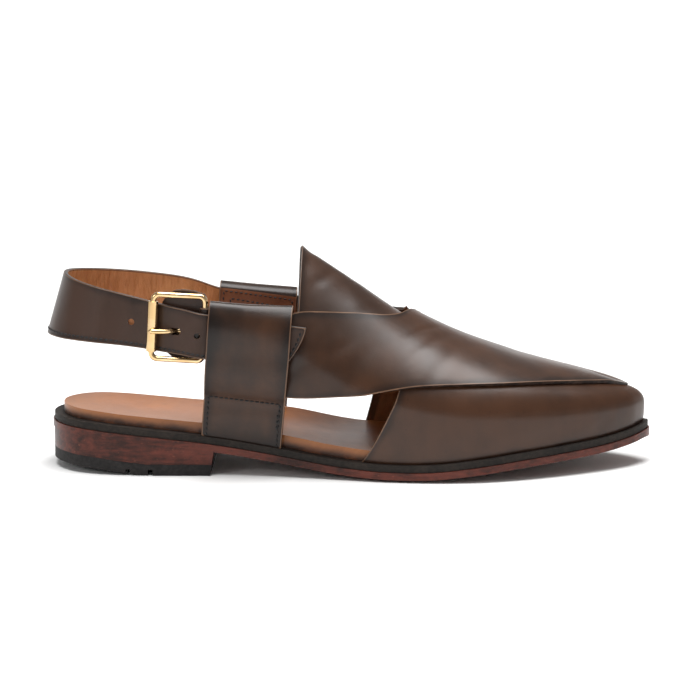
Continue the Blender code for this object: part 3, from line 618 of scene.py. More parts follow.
# %% [markdown]
# ## Creases
# A new shoe has few creases, but a hand-lasted band is never flat. It ripples where it dives into its
# loop and puckers near the crossing. Each crease is one row: where it lies on the last, its heading, and
# its length, width and depth in millimetres. It sinks along its middle and swells a little on both sides.

# %% Crease table
# x, turn, heading in degrees from the toe, half length, half width, depth
BAND_CREASES = np.array([
    (123, -0.93, 68, 10, 3.0, 0.34), (129, -0.98, 74, 12, 3.4, 0.28), (138, -0.86, 60, 11, 4.0, 0.24),
    (148, -0.93, 80, 12, 5.0, 0.20), (186, -0.26, 58, 9, 2.4, 0.34), (191, -0.34, 64, 12, 3.0, 0.30),
    (197, -0.48, 70, 15, 4.5, 0.24), (183, 0.12, -50, 8, 2.6, 0.24), (205, 0.42, -62, 13, 4.0, 0.22),
    (212, -0.92, 30, 16, 4.5, 0.16), (240, 0.10, 84, 16, 6.0, 0.16), (264, -0.35, 40, 11, 4.0, 0.12),
])
WALL_CREASES = np.array([
    (176, -1.45, 80, 9, 4.0, 0.18), (205, -1.55, 30, 15, 5.0, 0.16), (243, -1.50, 12, 18, 5.0, 0.16),
    (272, -1.50, 40, 11, 4.0, 0.14), (226, 1.50, -20, 16, 5.0, 0.16), (180, 1.45, -76, 10, 4.0, 0.20),
])
TONGUE_CREASES = np.array([
    (131, 0.02, 88, 14, 3.5, 0.28), (140, -0.22, 70, 11, 3.5, 0.26), (146, 0.25, -70, 12, 4.0, 0.24),
    (160, -0.30, 60, 10, 4.0, 0.20),
])


def crease_depth(points, rows):
    """How far in, in metres, the creases pull each point."""
    total = np.zeros(len(points))
    for x, turn, heading, half_long, half_wide, depth in rows:
        x = x * MM
        middle, normal = on_last(x, turn), last_normal(x, turn)
        ahead = on_last(x + 1 * MM, turn) - middle
        ahead = ahead - normal * ahead.dot(normal)
        ahead /= np.linalg.norm(ahead)
        angle = math.radians(heading)
        line = ahead * math.cos(angle) + np.cross(normal, ahead) * math.sin(angle)
        away = points - middle
        off_line = away @ np.cross(normal, line) / (half_wide * MM)
        on_line = away @ line / (half_long * MM)
        near = abs(away @ normal) < 12 * MM
        total += near * depth * MM * (1 - 0.9 * off_line**2) * np.exp(-(off_line**2) - on_line**2)
    return total


print(len(BAND_CREASES) + len(WALL_CREASES) + len(TONGUE_CREASES), "creases")

# %% [markdown]
# ## The upper
# The toe wall runs round the toe from one side to the other. The inner band is laid next, and the outer
# band crosses over it, ends at the toe and stands a little proud of the wall, so a thin shadow runs below
# its edge.

# %% Panels on the last
# Lower edge of the crossed bands: x, height
BAND_FOOT = np.array([
    (97, 44), (119, 40.4), (150, 41.8), (182, 44.9), (205, 44.7), (230, 43.8), (255, 42.2), (275, 40.6),
    (288, 39.2), (297, 37.4),
]) * MM
# Rear edge of a band, climbing from its loop over the crest: x, turn round the last
BAND_REAR = np.array([
    (104, -0.90), (114, -0.80), (121, -0.71), (135, -0.59), (150, -0.47), (160, -0.39), (168, -0.31),
    (174.5, -0.20), (180.5, 0.0), (187, 0.19), (196, 0.34), (208, 0.46), (220, 0.54), (235, 0.58),
]) * np.array([MM, 1])
BAND_START_X, NOTCH_X, BAND_JOIN_X, UNDER_END_X = 104 * MM, 180.5 * MM, 235 * MM, 246 * MM
# Rear edge of the toe wall on each side: x at the feather, x at the top
WALL_REAR = {LATERAL: (155 * MM, 176 * MM), MEDIAL: (156 * MM, 167 * MM)}
WALL_TUCK = 0.82
WALL_OUT, BAND_OUT, TONGUE_OUT = 1.6 * MM, 3.7 * MM, -1.1 * MM
WALL_THICK, BAND_THICK, TONGUE_THICK = 1.6 * MM, 1.9 * MM, 1.8 * MM


def toward_tip(share, start_x):
    """Feather station at a share of the way to the toe, closer together where the toe is round."""
    return FEATHER_TIP_X - (FEATHER_TIP_X - start_x) * (1 - share) ** 1.7


def band_foot_turn(x, side):
    return turn_at_height(x, side, table_value(BAND_FOOT, 1, x))


# Inside the toe a panel is pared thin away from its edges, where it bends tightest
SKIVE_MM, SKIVE_FROM_X, SKIVED_SHARE = 5.0, 236 * MM, 0.2


def last_panel(name, node, along, across, place, outer, thick, cut_sides, creases):
    """A panel on the last. place gives feather stations and turns, outer how high its grain side stands."""
    bm, flat = bent_grid(along, across, lambda u, v: on_last(*place(u, v)))
    bm.normal_update()
    rise = outer(flat[:, 0], flat[:, 1])
    keep_edge_distance(bm, along, across, cut_sides)
    height = bm.verts.layers.float.new("rise")
    for vert, value in zip(bm.verts, rise):
        vert[height] = value
    bmesh.ops.remove_doubles(bm, verts=bm.verts, dist=0.02 * MM)
    bm.normal_update()
    sunk = crease_depth(np.array([vert.co for vert in bm.verts]), creases)
    moves = [vert.normal * (vert[height] - depth) for vert, depth in zip(bm.verts, sunk)]
    for vert, move in zip(bm.verts, moves):
        vert.co += move
    bm.verts.index_update()
    distance = bm.verts.layers.float["edge_mm"]
    full = [vert.index for vert in bm.verts if vert[distance] < SKIVE_MM or vert.co.x < SKIVE_FROM_X]
    piece = to_piece(bm, name, (upper_grain, upper_lining, cut_edge))
    piece.vertex_groups.new(name="full thickness").add(full, 1.0, "REPLACE")
    thicken(piece, thick, vertex_group="full thickness", thickness_vertex_group=SKIVED_SHARE)
    return stand_for(piece, node)


print(f"leather is skived from x = {SKIVE_FROM_X / MM:.0f} mm")

# %% Toe wall
def wall_place(u, v):
    lateral = u < 0.5
    x_foot = np.where(lateral, WALL_REAR[LATERAL][0], WALL_REAR[MEDIAL][0])
    x_top = np.where(lateral, WALL_REAR[LATERAL][1], WALL_REAR[MEDIAL][1])
    x = toward_tip(1 - abs(1 - 2 * u), x_foot + (x_top - x_foot) * v)
    foot = np.where(lateral, band_foot_turn(x, LATERAL), band_foot_turn(x, MEDIAL))
    edge = np.where(lateral, -2.0, 2.0)
    return x, edge + (foot * WALL_TUCK - edge) * v


last_panel(
    "toe_wall", "upper", 180, 34, wall_place, lambda u, v: WALL_OUT + 0 * u, WALL_THICK,
    ("rear", "front", "low"), WALL_CREASES,
)

# %% Crossed bands
# The inner band's row, at this share of its width, that runs along the crest where the band crosses it
CREST_ROW = 0.3


def share_rows(x, start, end, v):
    """Turns from start to end across the inner band. The crest row lies on the crest where the band crosses
    it, and drifts to the band's rear edge on the way to the notch."""
    drift = np.clip((x - BAND_START_X) / (NOTCH_X - BAND_START_X), 0, 1)
    row = np.where((start < 0) & (end > 0), 0.0, start + (end - start) * CREST_ROW * (1 - drift))
    before = start + (row - start) * v / CREST_ROW
    beyond = row + (end - row) * (v - CREST_ROW) / (1 - CREST_ROW)
    return np.where(v < CREST_ROW, before, beyond)


def outer_band_place(u, v):
    x = toward_tip(u, BAND_START_X)
    start, foot = band_foot_turn(x, LATERAL), band_foot_turn(x, MEDIAL)
    end = np.where(x < BAND_JOIN_X, np.minimum(foot, table_value(BAND_REAR, 1, x)), foot)
    return x, start + (end - start) * v


def inner_band_place(u, v):
    x = BAND_START_X + (UNDER_END_X - BAND_START_X) * u
    end = band_foot_turn(x, MEDIAL)
    end = end - 0.08 * np.clip((x - BAND_JOIN_X + 10 * MM) / (8 * MM), 0, 1)
    rear = -table_value(BAND_REAR, 1, x)
    start = np.where(x < NOTCH_X, rear, -0.26 * np.clip((x - NOTCH_X) / (30 * MM), 0, 1))
    return x, share_rows(x, start, end, v)


def inner_band_rise(u, v):
    """The inner band lies on the toe wall at its foot and dives under the outer band near the crest."""
    x = BAND_START_X + (UNDER_END_X - BAND_START_X) * u
    under = np.clip((x - 165 * MM) / (25 * MM), 0, 1) * np.clip(1.15 - v, 0, 1)
    ahead = np.clip((x - 222 * MM) / (12 * MM), 0, 1)
    return (3.3 - 1.7 * under - 0.9 * ahead) * MM


def outer_band_rise(u, v):
    """The outer band stands proud of the toe wall, and comes down onto it at the very tip."""
    near_tip = np.clip((toward_tip(u, BAND_START_X) - 284 * MM) / (13 * MM), 0, 1)
    return BAND_OUT - 1.2 * MM * near_tip**2


last_panel(
    "outer_band", "upper", 120, 60, outer_band_place, outer_band_rise, BAND_THICK, FREE_EDGES, BAND_CREASES
)
# The creases by the loop are repeated on the medial side, with turns and headings the other way
last_panel(
    "inner_band", "upper", 90, 48, inner_band_place, inner_band_rise, BAND_THICK, FREE_EDGES,
    BAND_CREASES[:4] * np.array([1, -1, -1, 1, 1, 1]),
)

# %% Tongue
# From the rear edge to the front end: x, height of the side edges
TONGUE_FOOT = np.array([(124, 67), (145, 65), (165, 61), (182, 58), (192, 58), (198, 60)]) * MM
TONGUE_REAR_X, TONGUE_FRONT_X = 126.2 * MM, 199 * MM


def tongue_place(u, v):
    side_share = 2 * v - 1
    # The rear edge falls away further on the medial side
    rear = TONGUE_REAR_X + np.where(side_share > 0, 6.0, -2.5) * MM * side_share**2
    front = TONGUE_FRONT_X - 6 * MM * side_share**2
    x = rear + (front - rear) * u
    height = table_value(TONGUE_FOOT, 1, x)
    foot = np.where(side_share > 0, turn_at_height(x, MEDIAL, height), turn_at_height(x, LATERAL, height))
    return x, abs(foot) * side_share


def tongue_rise(u, v):
    """The rear edge curls out a little, as a free edge does."""
    return TONGUE_OUT + 0.9 * MM * np.exp(-u / 0.05)


last_panel(
    "tongue_leather", "tongue", 70, 64, tongue_place, tongue_rise, TONGUE_THICK, FREE_EDGES, TONGUE_CREASES
)

# %% [markdown]
# ## Ankle loops
# Each loop is a strip folded over at the top, with its grain side outwards all round. One profile of the
# strip, from the inner foot over the fold to the outer foot, is swept along the shoe.

# %% Fold the loops
LOOP_X, LOOP_WIDTH = 77 * MM, 39.6 * MM
# How far the loop's rear edge leans forward as it rises, and how much more its front edge does
LOOP_SLANT, LOOP_FAN = 0.085, 0.015
LOOP_TOP = {LATERAL: (86.0 * MM, 81.6 * MM), MEDIAL: (86.6 * MM, 82.6 * MM)}
LOOP_SEAM = (43 * MM, 39 * MM)
LOOP_ROOM = {LATERAL: 9.3 * MM, MEDIAL: 7.3 * MM}
LOOP_FLARE = {LATERAL: 1.6 * MM, MEDIAL: 0}
LOOP_LEATHER = 1.55 * MM
PROFILE_STEPS, LOOP_COLUMNS = 96, 28
# The strip's inner face, up to this share of its way over the fold, has a finish slot of its own: a lighter,
# warmer copy of the loop leather, painted light against the shade inside the loop
INSIDE, INSIDE_SHARE = 3, 0.46


def loop_point(side, share, offset, z):
    x = LOOP_X + LOOP_WIDTH * share + (LOOP_SLANT + LOOP_FAN * share) * (z - 20 * MM)
    point = beside_last(side, x, z, offset)
    point[..., 0] = x
    return point


def loop_profile(side, share):
    """The grain side of the strip at a share of its width: offset from the last, height."""
    top = LOOP_TOP[side][0] + (LOOP_TOP[side][1] - LOOP_TOP[side][0]) * share
    seam = LOOP_SEAM[0] + (LOOP_SEAM[1] - LOOP_SEAM[0]) * share
    foot = welt_top(LOOP_X + LOOP_WIDTH * share) + 0.35 * MM
    wide = LOOP_ROOM[side] + LOOP_FLARE[side] * max(0, 1 - share * 2.5)
    skin = 1.6 * MM
    knots = [
        (-0.2 * MM, foot), (-0.2 * MM, 30 * MM), (-1.5 * MM, 38 * MM), (-1.5 * MM, 60 * MM),
        (-1.5 * MM, top - 5 * MM), (-0.7 * MM, top - 1.6 * MM), (wide * 0.25, top - 0.2 * MM),
        (wide * 0.6, top), (wide + 0.8 * MM, top - 1.3 * MM), (wide + skin + 0.8 * MM, top - 5 * MM),
        (wide + skin, 62 * MM), (wide * 0.92 + skin, seam + 10 * MM), (5.6 * MM, seam + 0.8 * MM),
        (3.1 * MM, seam - 2.4 * MM), (3.0 * MM, 29 * MM), (3.0 * MM, foot),
    ]
    return smooth_path(knots, PROFILE_STEPS + 1)


def fold_loop(side, name, node):
    """Sweeps the profile along the shoe and thickens it."""
    profiles = np.array([loop_profile(side, i / LOOP_COLUMNS) for i in range(LOOP_COLUMNS + 1)])

    def place(u, v):
        knots = profiles[np.rint(u * LOOP_COLUMNS).astype(int), np.rint(v * PROFILE_STEPS).astype(int)]
        return loop_point(side, u, knots[:, 0], knots[:, 1])

    bm, flat = bent_grid(LOOP_COLUMNS, PROFILE_STEPS, place)
    keep_edge_distance(bm, LOOP_COLUMNS, PROFILE_STEPS, ALL_EDGES)
    layer = bm.verts.layers.float["edge_mm"]
    for vert, (u, v) in zip(bm.verts, flat):
        fold = abs(vert.co.z - LOOP_TOP[side][0] + 4 * MM * u)
        vert[layer] = min(vert[layer], fold / MM + 3.0)
    rows = {vert.index: v for vert, (u, v) in zip(bm.verts, flat)}
    for face in bm.faces:
        inside = max(rows[vert.index] for vert in face.verts) < INSIDE_SHARE
        face.material_index = INSIDE if inside else GRAIN
    if side == LATERAL:
        bmesh.ops.reverse_faces(bm, faces=bm.faces)
    piece = to_piece(bm, name, (loop_grain, upper_lining, cut_edge, loop_inside_painted_light, upper_lining, cut_edge))
    thicken(piece, LOOP_LEATHER, 0.35 * MM)
    stand_for(piece, node)


fold_loop(LATERAL, "near_loop", "ankle_loop_lateral")
fold_loop(MEDIAL, "far_loop", "ankle_loop_medial")

# %% [markdown]
# ## Heel strap
# The strap runs from its rounded tail, forward of the buckle, round the heel and into the far loop. It is
# two layers: burnished leather outside, tan lining inside. Its holes are punched after it is bent.

# %% Bend the strap
# From the tail round the heel: x, y, height, width, lean in degrees. Where y is 0, the last gives it
STRAP = np.array([
    (128, 0, 64.8, 20.6, 2), (112, 0, 66.4, 21.0, 2), (98, 0, 68.0, 21.4, 2), (86, -40.2, 69.6, 21.6, 2),
    (78, -41.1, 70.7, 22.0, 3), (70, -38.4, 72.1, 22.4, 4), (62, -35.2, 73.3, 23.0, 2),
    (53, -31.9, 74.7, 23.8, 2), (40, -29.4, 76.8, 25.2, 4), (25, -26.4, 78.9, 27.4, 9),
    (12.5, -18.9, 80.6, 30.0, 12), (6.5, -9.5, 81.4, 31.6, 15), (4.6, 0.01, 81.6, 32.2, 16.5),
    (6.5, 9.5, 81.6, 31.6, 15), (12.5, 19.1, 81.4, 30.0, 12), (25, 27.4, 81.0, 28.0, 9),
    (45, 32.2, 79.7, 26.0, 6), (65, 34.8, 77.2, 24.4, 4), (83, 0, 72.9, 21.0, 3), (102, 0, 70.8, 21.2, 2),
]) * np.array([MM, MM, MM, MM, 1])
STRAP_OFF_LAST = {LATERAL: 4.6 * MM, MEDIAL: 3.5 * MM}
STRAP_THICK, TAIL_ROUND = 2.2 * MM, 9 * MM
STRAP_HOLES_X = (43.6 * MM, 76.3 * MM)
HOLE_WIDE = 3.0 * MM


def strap_rows():
    rows = STRAP.copy()
    for i, row in enumerate(rows):
        if row[1] == 0:
            side = LATERAL if i < 10 else MEDIAL
            row[1] = beside_last(side, row[0], row[2], STRAP_OFF_LAST[side])[1]
    return np.column_stack([run_along(rows[:, :2]), rows])


STRAP_RUN = strap_rows()
STRAP_LONG = STRAP_RUN[-1, 0]


def strap_place(distance):
    """Middle of the strap's inner face, direction up its width, outward direction and width."""
    middle, before, after = (
        np.stack([table_value(STRAP_RUN, c, distance + d) for c in (1, 2, 3)], axis=-1)
        for d in (0, -0.3 * MM, 0.3 * MM)
    )
    along = (after - before) / np.linalg.norm(after - before, axis=-1, keepdims=True)
    out = np.cross(along, (0, 0, 1.0))
    out /= np.linalg.norm(out, axis=-1, keepdims=True)
    lean = np.radians(table_value(STRAP_RUN, 5, distance))[..., None]
    up = np.array((0, 0, 1.0)) * np.cos(lean) + out * np.sin(lean)
    up = up - along * np.sum(up * along, axis=-1, keepdims=True)
    return middle, up, np.cross(up, along), table_value(STRAP_RUN, 4, distance)


def on_strap(distance, rise, lift=0.0):
    """A point of the strap: distance along it, rise from -1, the low edge, to 1, lift off its inner face."""
    distance = np.asarray(distance, float)
    retreat = TAIL_ROUND * ((1 - rise) / 2) ** 1.7 * np.maximum(0, 1 - distance / (24 * MM))
    middle, up, out, width = strap_place(distance + retreat)
    return middle + up * (width / 2 * rise)[..., None] + out * lift


def cut_away(piece, cutter):
    modify(piece, "BOOLEAN", operation="DIFFERENCE", object=cutter, solver="EXACT")
    bake(piece)
    bpy.data.objects.remove(cutter)


def punch(piece, points, wide, deep, finish):
    """Punches round holes into a piece, across the shoe, at places in the tables' coordinates."""
    for point in points:
        bm = bmesh.new()
        place = Matrix.Translation(Vector(point) + TO_FRAME) @ Matrix.Rotation(math.pi / 2, 4, "X")
        bmesh.ops.create_cone(
            bm, cap_ends=True, segments=24, radius1=wide / 2, radius2=wide / 2, depth=deep * 2, matrix=place
        )
        cutter = from_bmesh(bm, "punch")
        cutter.data.materials.append(finish)
        cut_away(piece, cutter)


bm, flat = bent_grid(260, 16, lambda u, v: on_strap(u * STRAP_LONG, 1 - 2 * v))
bm.normal_update()
for vert, normal in zip(bm.verts, [vert.normal.copy() for vert in bm.verts]):
    vert.co += normal * STRAP_THICK
keep_edge_distance(bm, 260, 16, ALL_EDGES)
heel_strap = to_piece(bm, "strap_leather", (strap_grain, strap_lining, cut_edge))
thicken(heel_strap, STRAP_THICK, 0.4 * MM)
bake(heel_strap)
stand_for(heel_strap, "heel_strap")
print(f"strap {STRAP_LONG / MM:.0f} mm long")

# %% [markdown]
# ## Buckle
# The frame is a wire bent to a rounded rectangle. A circle is spun to a ring, and the ring's quarters are
# pulled apart, so the straight bars are the stretched steps between them. The prong and the leather wraps
# are bars with rings along them, bent onto their paths.

# %% Buckle geometry
BUCKLE_MIDDLE = Vector((66.9, -37.9, 74.3)) * MM
BUCKLE_DROP = math.radians(3.3)
BUCKLE_REACH, BUCKLE_HALF_HIGH, BUCKLE_CORNER = 12.6 * MM, 15.7 * MM, 3.2 * MM
WIRE, ROLLER_WIDE, ROLLER_LONG, PRONG_WIDE = 2.8 * MM, 5 * MM, 24.6 * MM, 2.4 * MM
# The prong lies below the buckle's middle, and rounds off over its last share
PRONG_UP, PRONG_RINGS, PRONG_NOSE = -1.9 * MM, 40, 0.93
# Prong, from the hinge bar to its tip on the roller: along the buckle, outward
PRONG = np.array([
    (10.5, 0), (5.4, -0.6), (1.6, -1.6), (-0.5, -1.5), (-2.2, -0.3), (-4.0, 1.3), (-6.4, 2.7), (-9.5, 3.8),
    (-12.0, 4.1), (-14.0, 3.9),
]) * MM
along = Vector((math.cos(BUCKLE_DROP), 0, -math.sin(BUCKLE_DROP)))
upward = Vector((math.sin(BUCKLE_DROP), 0, math.cos(BUCKLE_DROP)))
BUCKLE_AXES = Matrix((along, upward, along.cross(upward))).transposed().to_4x4()
AT_BUCKLE = Matrix.Translation(BUCKLE_MIDDLE) @ BUCKLE_AXES
UPRIGHT = Matrix.Rotation(math.pi / 2, 4, "X")


def brass_piece(bm, name, node):
    bmesh.ops.transform(bm, matrix=AT_BUCKLE, verts=bm.verts)
    bmesh.ops.recalc_face_normals(bm, faces=bm.faces)
    return stand_for(to_piece(bm, name, (brass,), smooth_below=50), node)


def bent_bar(path, radii, sides=14):
    """A round bar with rings along it, laid onto a path of points with a radius at each."""
    bm = bmesh.new()
    bmesh.ops.create_cone(bm, cap_ends=True, segments=sides, radius1=1, radius2=1, depth=1)
    risers = [edge for edge in bm.edges if abs(edge.verts[0].co.z - edge.verts[1].co.z) > 0.5]
    bmesh.ops.subdivide_edges(bm, edges=risers, cuts=len(path) - 2, use_grid_fill=True)
    tangents = np.gradient(path, axis=0)
    for vert in bm.verts:
        i = int(round((vert.co.z + 0.5) * (len(path) - 1)))
        ahead = Vector(tangents[i]).normalized()
        across = Vector((0, 1, 0))
        outward = ahead.cross(across)
        vert.co = Vector(path[i]) + (across * vert.co.x + outward * vert.co.y) * radii[i]
    return bm


# %% Frame, roller and prong
bm = bmesh.new()
bmesh.ops.create_circle(
    bm, segments=20, radius=WIRE / 2, matrix=Matrix.Translation((BUCKLE_CORNER, 0, 0)) @ UPRIGHT
)
bmesh.ops.rotate(bm, verts=bm.verts, cent=(0, 0, 0), matrix=Matrix.Rotation(math.radians(4.5), 3, "Z"))
bmesh.ops.spin(
    bm, geom=bm.verts[:] + bm.edges[:], cent=(0, 0, 0), axis=(0, 0, 1), angle=math.tau, steps=40,
    use_merge=True,
)
for vert in bm.verts:
    vert.co.x += math.copysign(BUCKLE_REACH - BUCKLE_CORNER, vert.co.x)
    vert.co.y += math.copysign(BUCKLE_HALF_HIGH - BUCKLE_CORNER, vert.co.y)
brass_piece(bm, "brass_frame", "buckle_frame")

bm = bmesh.new()
at_end = Matrix.Translation((-BUCKLE_REACH, ROLLER_LONG / 2, 0)) @ UPRIGHT
bmesh.ops.create_circle(bm, segments=40, radius=ROLLER_WIDE / 2, matrix=at_end)
rim = bmesh.ops.extrude_edge_only(bm, edges=bm.edges[:])["geom"]
far_rim = [item for item in rim if isinstance(item, bmesh.types.BMVert)]
bmesh.ops.translate(bm, verts=far_rim, vec=(0, -ROLLER_LONG, 0))
buckle_roller = brass_piece(bm, "brass_roller", "buckle_roller")
modify(buckle_roller, "SOLIDIFY", thickness=0.8 * MM, offset=-1)
modify(buckle_roller, "BEVEL", width=0.3 * MM, segments=3, limit_method="ANGLE", harden_normals=True)

path = smooth_path(PRONG, PRONG_RINGS)
path = np.column_stack([path[:, 0], np.full(PRONG_RINGS, PRONG_UP), path[:, 1]])
past_nose = ((np.linspace(0, 1, PRONG_RINGS) - PRONG_NOSE) / (1 - PRONG_NOSE)).clip(0)
radii = PRONG_WIDE / 2 * np.sqrt(np.clip(1 - past_nose**2, 0.05, 1))
brass_piece(bent_bar(path, radii), "brass_prong", "buckle_prong")

# %% [markdown]
# ## Chape
# The buckle hangs in a strip folded round its front bar. Behind the strap's tail a thin guard tab keeps
# the metal off the ankle, and its round end shows above the strap inside the frame.

# %% Guard tab and wraps
# Guard tab: x, y of its outer face, and how far it reaches down and up from the buckle's middle
TAB = np.array([
    (57, -31.8, -2, 6), (58, -32.0, -7.5, 11), (60.5, -32.6, -12.5, 15.2), (64, -33.4, -15.2, 17.6),
    (68, -34.3, -16, 18.2), (74, -35.5, -16, 18), (79.4, -36.2, -16, 16.4), (81.2, -36.5, -12, 8),
    (88, -37.0, -12, 8), (98, -37.5, -12, 8),
]) * MM
# Strip round the hinge bar, outer face: distance from the bar forward, outward
WRAP = np.array([
    (7.6, -2.6), (3.8, -2.7), (0, -2.6), (-1.8, -1.8), (-2.5, 0), (-1.8, 1.8), (0, 2.5), (3.2, 1.6),
    (6, -0.6), (7.6, -2.2),
]) * MM
WRAP_HALF_HIGH, WRAP_SLOT, WRAP_STEPS = 10.4 * MM, 2.3 * MM, 40


def tab_place(u, v):
    rows = TAB[0, 0] + (TAB[-1, 0] - TAB[0, 0]) * u
    y, low, high = (np.interp(rows, TAB[:, 0], TAB[:, c]) for c in (1, 2, 3))
    local = np.column_stack([rows - BUCKLE_MIDDLE.x, low + (high - low) * v, 0 * u])
    placed = np.array([AT_BUCKLE @ Vector(point) for point in local])
    placed[:, 1] = y
    return placed


bm, flat = bent_grid(60, 14, tab_place)
keep_edge_distance(bm, 60, 14, FREE_EDGES)
guard_tab = to_piece(bm, "guard_tab", (strap_grain, upper_lining, cut_edge))
thicken(guard_tab, 1.3 * MM, 0.3 * MM)
stand_for(guard_tab, "buckle_chape")


def hinge_wrap(name, low, high):
    """One of the two strips round the hinge bar, below and above the prong."""
    curve = smooth_path(WRAP, WRAP_STEPS + 1)

    def wrap_place(u, v):
        knots = curve[np.rint(v * WRAP_STEPS).astype(int)]
        return np.column_stack([BUCKLE_REACH + knots[:, 0], low + (high - low) * u, knots[:, 1]])

    bm, flat = bent_grid(10, WRAP_STEPS, wrap_place)
    bmesh.ops.transform(bm, matrix=AT_BUCKLE, verts=bm.verts)
    keep_edge_distance(bm, 10, WRAP_STEPS, ("rear", "front"))
    bmesh.ops.reverse_faces(bm, faces=bm.faces)
    wrap = to_piece(bm, name, (strap_grain, upper_lining, cut_edge))
    thicken(wrap, 0.9 * MM, 0.2 * MM)
    stand_for(wrap, "buckle_chape")


hinge_wrap("hinge_wrap_0", -WRAP_HALF_HIGH, PRONG_UP - WRAP_SLOT)
hinge_wrap("hinge_wrap_1", PRONG_UP + WRAP_SLOT, WRAP_HALF_HIGH)

# %% Punch the strap's holes
lateral_run = STRAP_RUN[STRAP_RUN[:, 2] < 0]
rear_hole, front_hole = (
    (x, np.interp(-x, -lateral_run[:, 1], lateral_run[:, 2]) - STRAP_THICK,
     np.interp(-x, -lateral_run[:, 1], lateral_run[:, 3]))
    for x in STRAP_HOLES_X
)
punch(heel_strap, [rear_hole], HOLE_WIDE, 1.5 * MM, strap_lining)
punch(heel_strap, [front_hole], HOLE_WIDE, 1.8 * MM, cut_edge)
prong_hole = AT_BUCKLE @ Vector((-2.2 * MM, PRONG_UP, 0))
punch(heel_strap, [prong_hole, prong_hole + Vector((1.8 * MM, 0, 0))], 3.6 * MM, 7 * MM, cut_edge)
print("strap now", triangles(heel_strap), "triangles")

# %% [markdown]
# ## Sole
# Every layer of the sole is the same outline at its own inset, between two heights. A grid over the
# outline is extruded down, and Bevel softens its edges: hardly on the stained leather, more on the rubber
# welt.

# %% Layers of the sole
SIDE_FACE, TOP_FACE, UNDER_FACE = 0, 1, 2
ROWS_ACROSS = 14


def sole_layer(name, node, inset, span, top, bottom, finishes, along=150, cuts=3):
    """A layer over a span of the outline. top and bottom give its height at x, and at a share of the way out,
    from -1 to 1."""
    first, last = span

    def plan(u, v):
        share = first + (last - first) * u
        x0, y0 = edge_point(LATERAL, inset, share)
        x1, y1 = edge_point(MEDIAL, inset, share)
        return np.column_stack([x0 + (x1 - x0) * v, y0 + (y1 - y0) * v, 0 * u])

    bm, flat = bent_grid(along, ROWS_ACROSS, plan)
    outs = bm.verts.layers.float.new("out")
    for vert, v in zip(bm.verts, flat[:, 1]):
        vert[outs] = 2 * v - 1
    copy = bmesh.ops.extrude_face_region(bm, geom=bm.faces[:], use_keep_orig=True)["geom"]
    lower = {item for item in copy if isinstance(item, bmesh.types.BMVert)}
    sides = [edge for edge in bm.edges if (edge.verts[0] in lower) != (edge.verts[1] in lower)]
    for vert in bm.verts:
        height = bottom if vert in lower else top
        vert.co.z = height(vert.co.x, vert[outs])
    bmesh.ops.recalc_face_normals(bm, faces=bm.faces)
    for face in bm.faces:
        count = sum(vert in lower for vert in face.verts)
        flat_face = UNDER_FACE if count else TOP_FACE
        face.material_index = SIDE_FACE if 0 < count < len(face.verts) else flat_face
    bmesh.ops.subdivide_edges(bm, edges=sides, cuts=cuts, use_grid_fill=True)
    foot = bm.verts.layers.float.new("edge_mm")
    for vert in bm.verts:
        vert[foot] = (vert.co.z - bottom(vert.co.x, vert[outs])) / MM
    return stand_for(to_piece(bm, name, finishes, smooth_below=50), node)


def outsole_base(x, out):
    crown = 1.7 * MM * np.clip((x - 95 * MM) / (50 * MM), 0, 1)
    return max(0.0, sole_seam(x) - OUTSOLE_THICK - crown * (1 - out * out))


def insole_top_height(x, out):
    arch = 3.2 * MM * max(out, 0) ** 2 * math.exp(-(((x - 122 * MM) / (32 * MM)) ** 2))
    seat = 1.1 * MM * (1 - out * out) * math.exp(-(((x - 45 * MM) / (30 * MM)) ** 2))
    return welt_top(x) + table_value(INSOLE_THICK, 1, x) + arch - seat


def rubber_base(x, out):
    return np.interp(x, HEEL_BASE[:, 0], HEEL_BASE[:, 1])


outsole = sole_layer(
    "stained_outsole", "outsole", 0, SOLE_SPAN, lambda x, out: sole_seam(x), outsole_base,
    (sole_edge, sole_edge, sole_under),
)
soften(outsole, 0.35 * MM, segments=4)
welt = sole_layer(
    "rubber_welt", "welt", WELT_INSET, SOLE_SPAN, lambda x, out: welt_top(x),
    lambda x, out: sole_seam(x) + CLEAR, [welt_rubber] * 3,
)
soften(welt, 0.9 * MM, segments=4)
insole = sole_layer(
    "padded_insole", "insole", FEATHER_INSET + 0.6 * MM, INSOLE_SPAN, insole_top_height,
    lambda x, out: welt_top(x) + CLEAR, [insole_top] * 3, cuts=4,
)
soften(insole, 2.4 * MM, segments=4)
print("insole padded")

# %% Heel
HEEL_BREAST_X, BREAST_LEAN = 82 * MM, 0.16
NOTCHES_X, NOTCH_WIDE, NOTCH_HIGH = (39.5 * MM, 50.5 * MM), 2.4 * MM, 3 * MM
NOTCH_REACH = (25 * MM, 40 * MM)


def heel_layer(name, node, top, bottom, finish):
    """A layer of the heel, cut off at the breast."""
    piece = sole_layer(name, node, WELT_INSET / 2, HEEL_SPAN, top, bottom, [finish] * 3, along=80)
    bm = bmesh.new()
    bm.from_mesh(piece.data)
    middle = Vector((HEEL_BREAST_X, 0, 6 * MM)) + TO_FRAME
    everything = bm.verts[:] + bm.edges[:] + bm.faces[:]
    halves = bmesh.ops.bisect_plane(
        bm, geom=everything, plane_co=middle, plane_no=(1, 0, -BREAST_LEAN), clear_outer=True
    )
    rim = [item for item in halves["geom_cut"] if isinstance(item, bmesh.types.BMEdge)]
    bmesh.ops.edgeloop_fill(bm, edges=rim)
    bmesh.ops.recalc_face_normals(bm, faces=bm.faces)
    bm.to_mesh(piece.data)
    bm.free()
    piece.data.set_sharp_from_angle(angle=math.radians(50))
    return piece


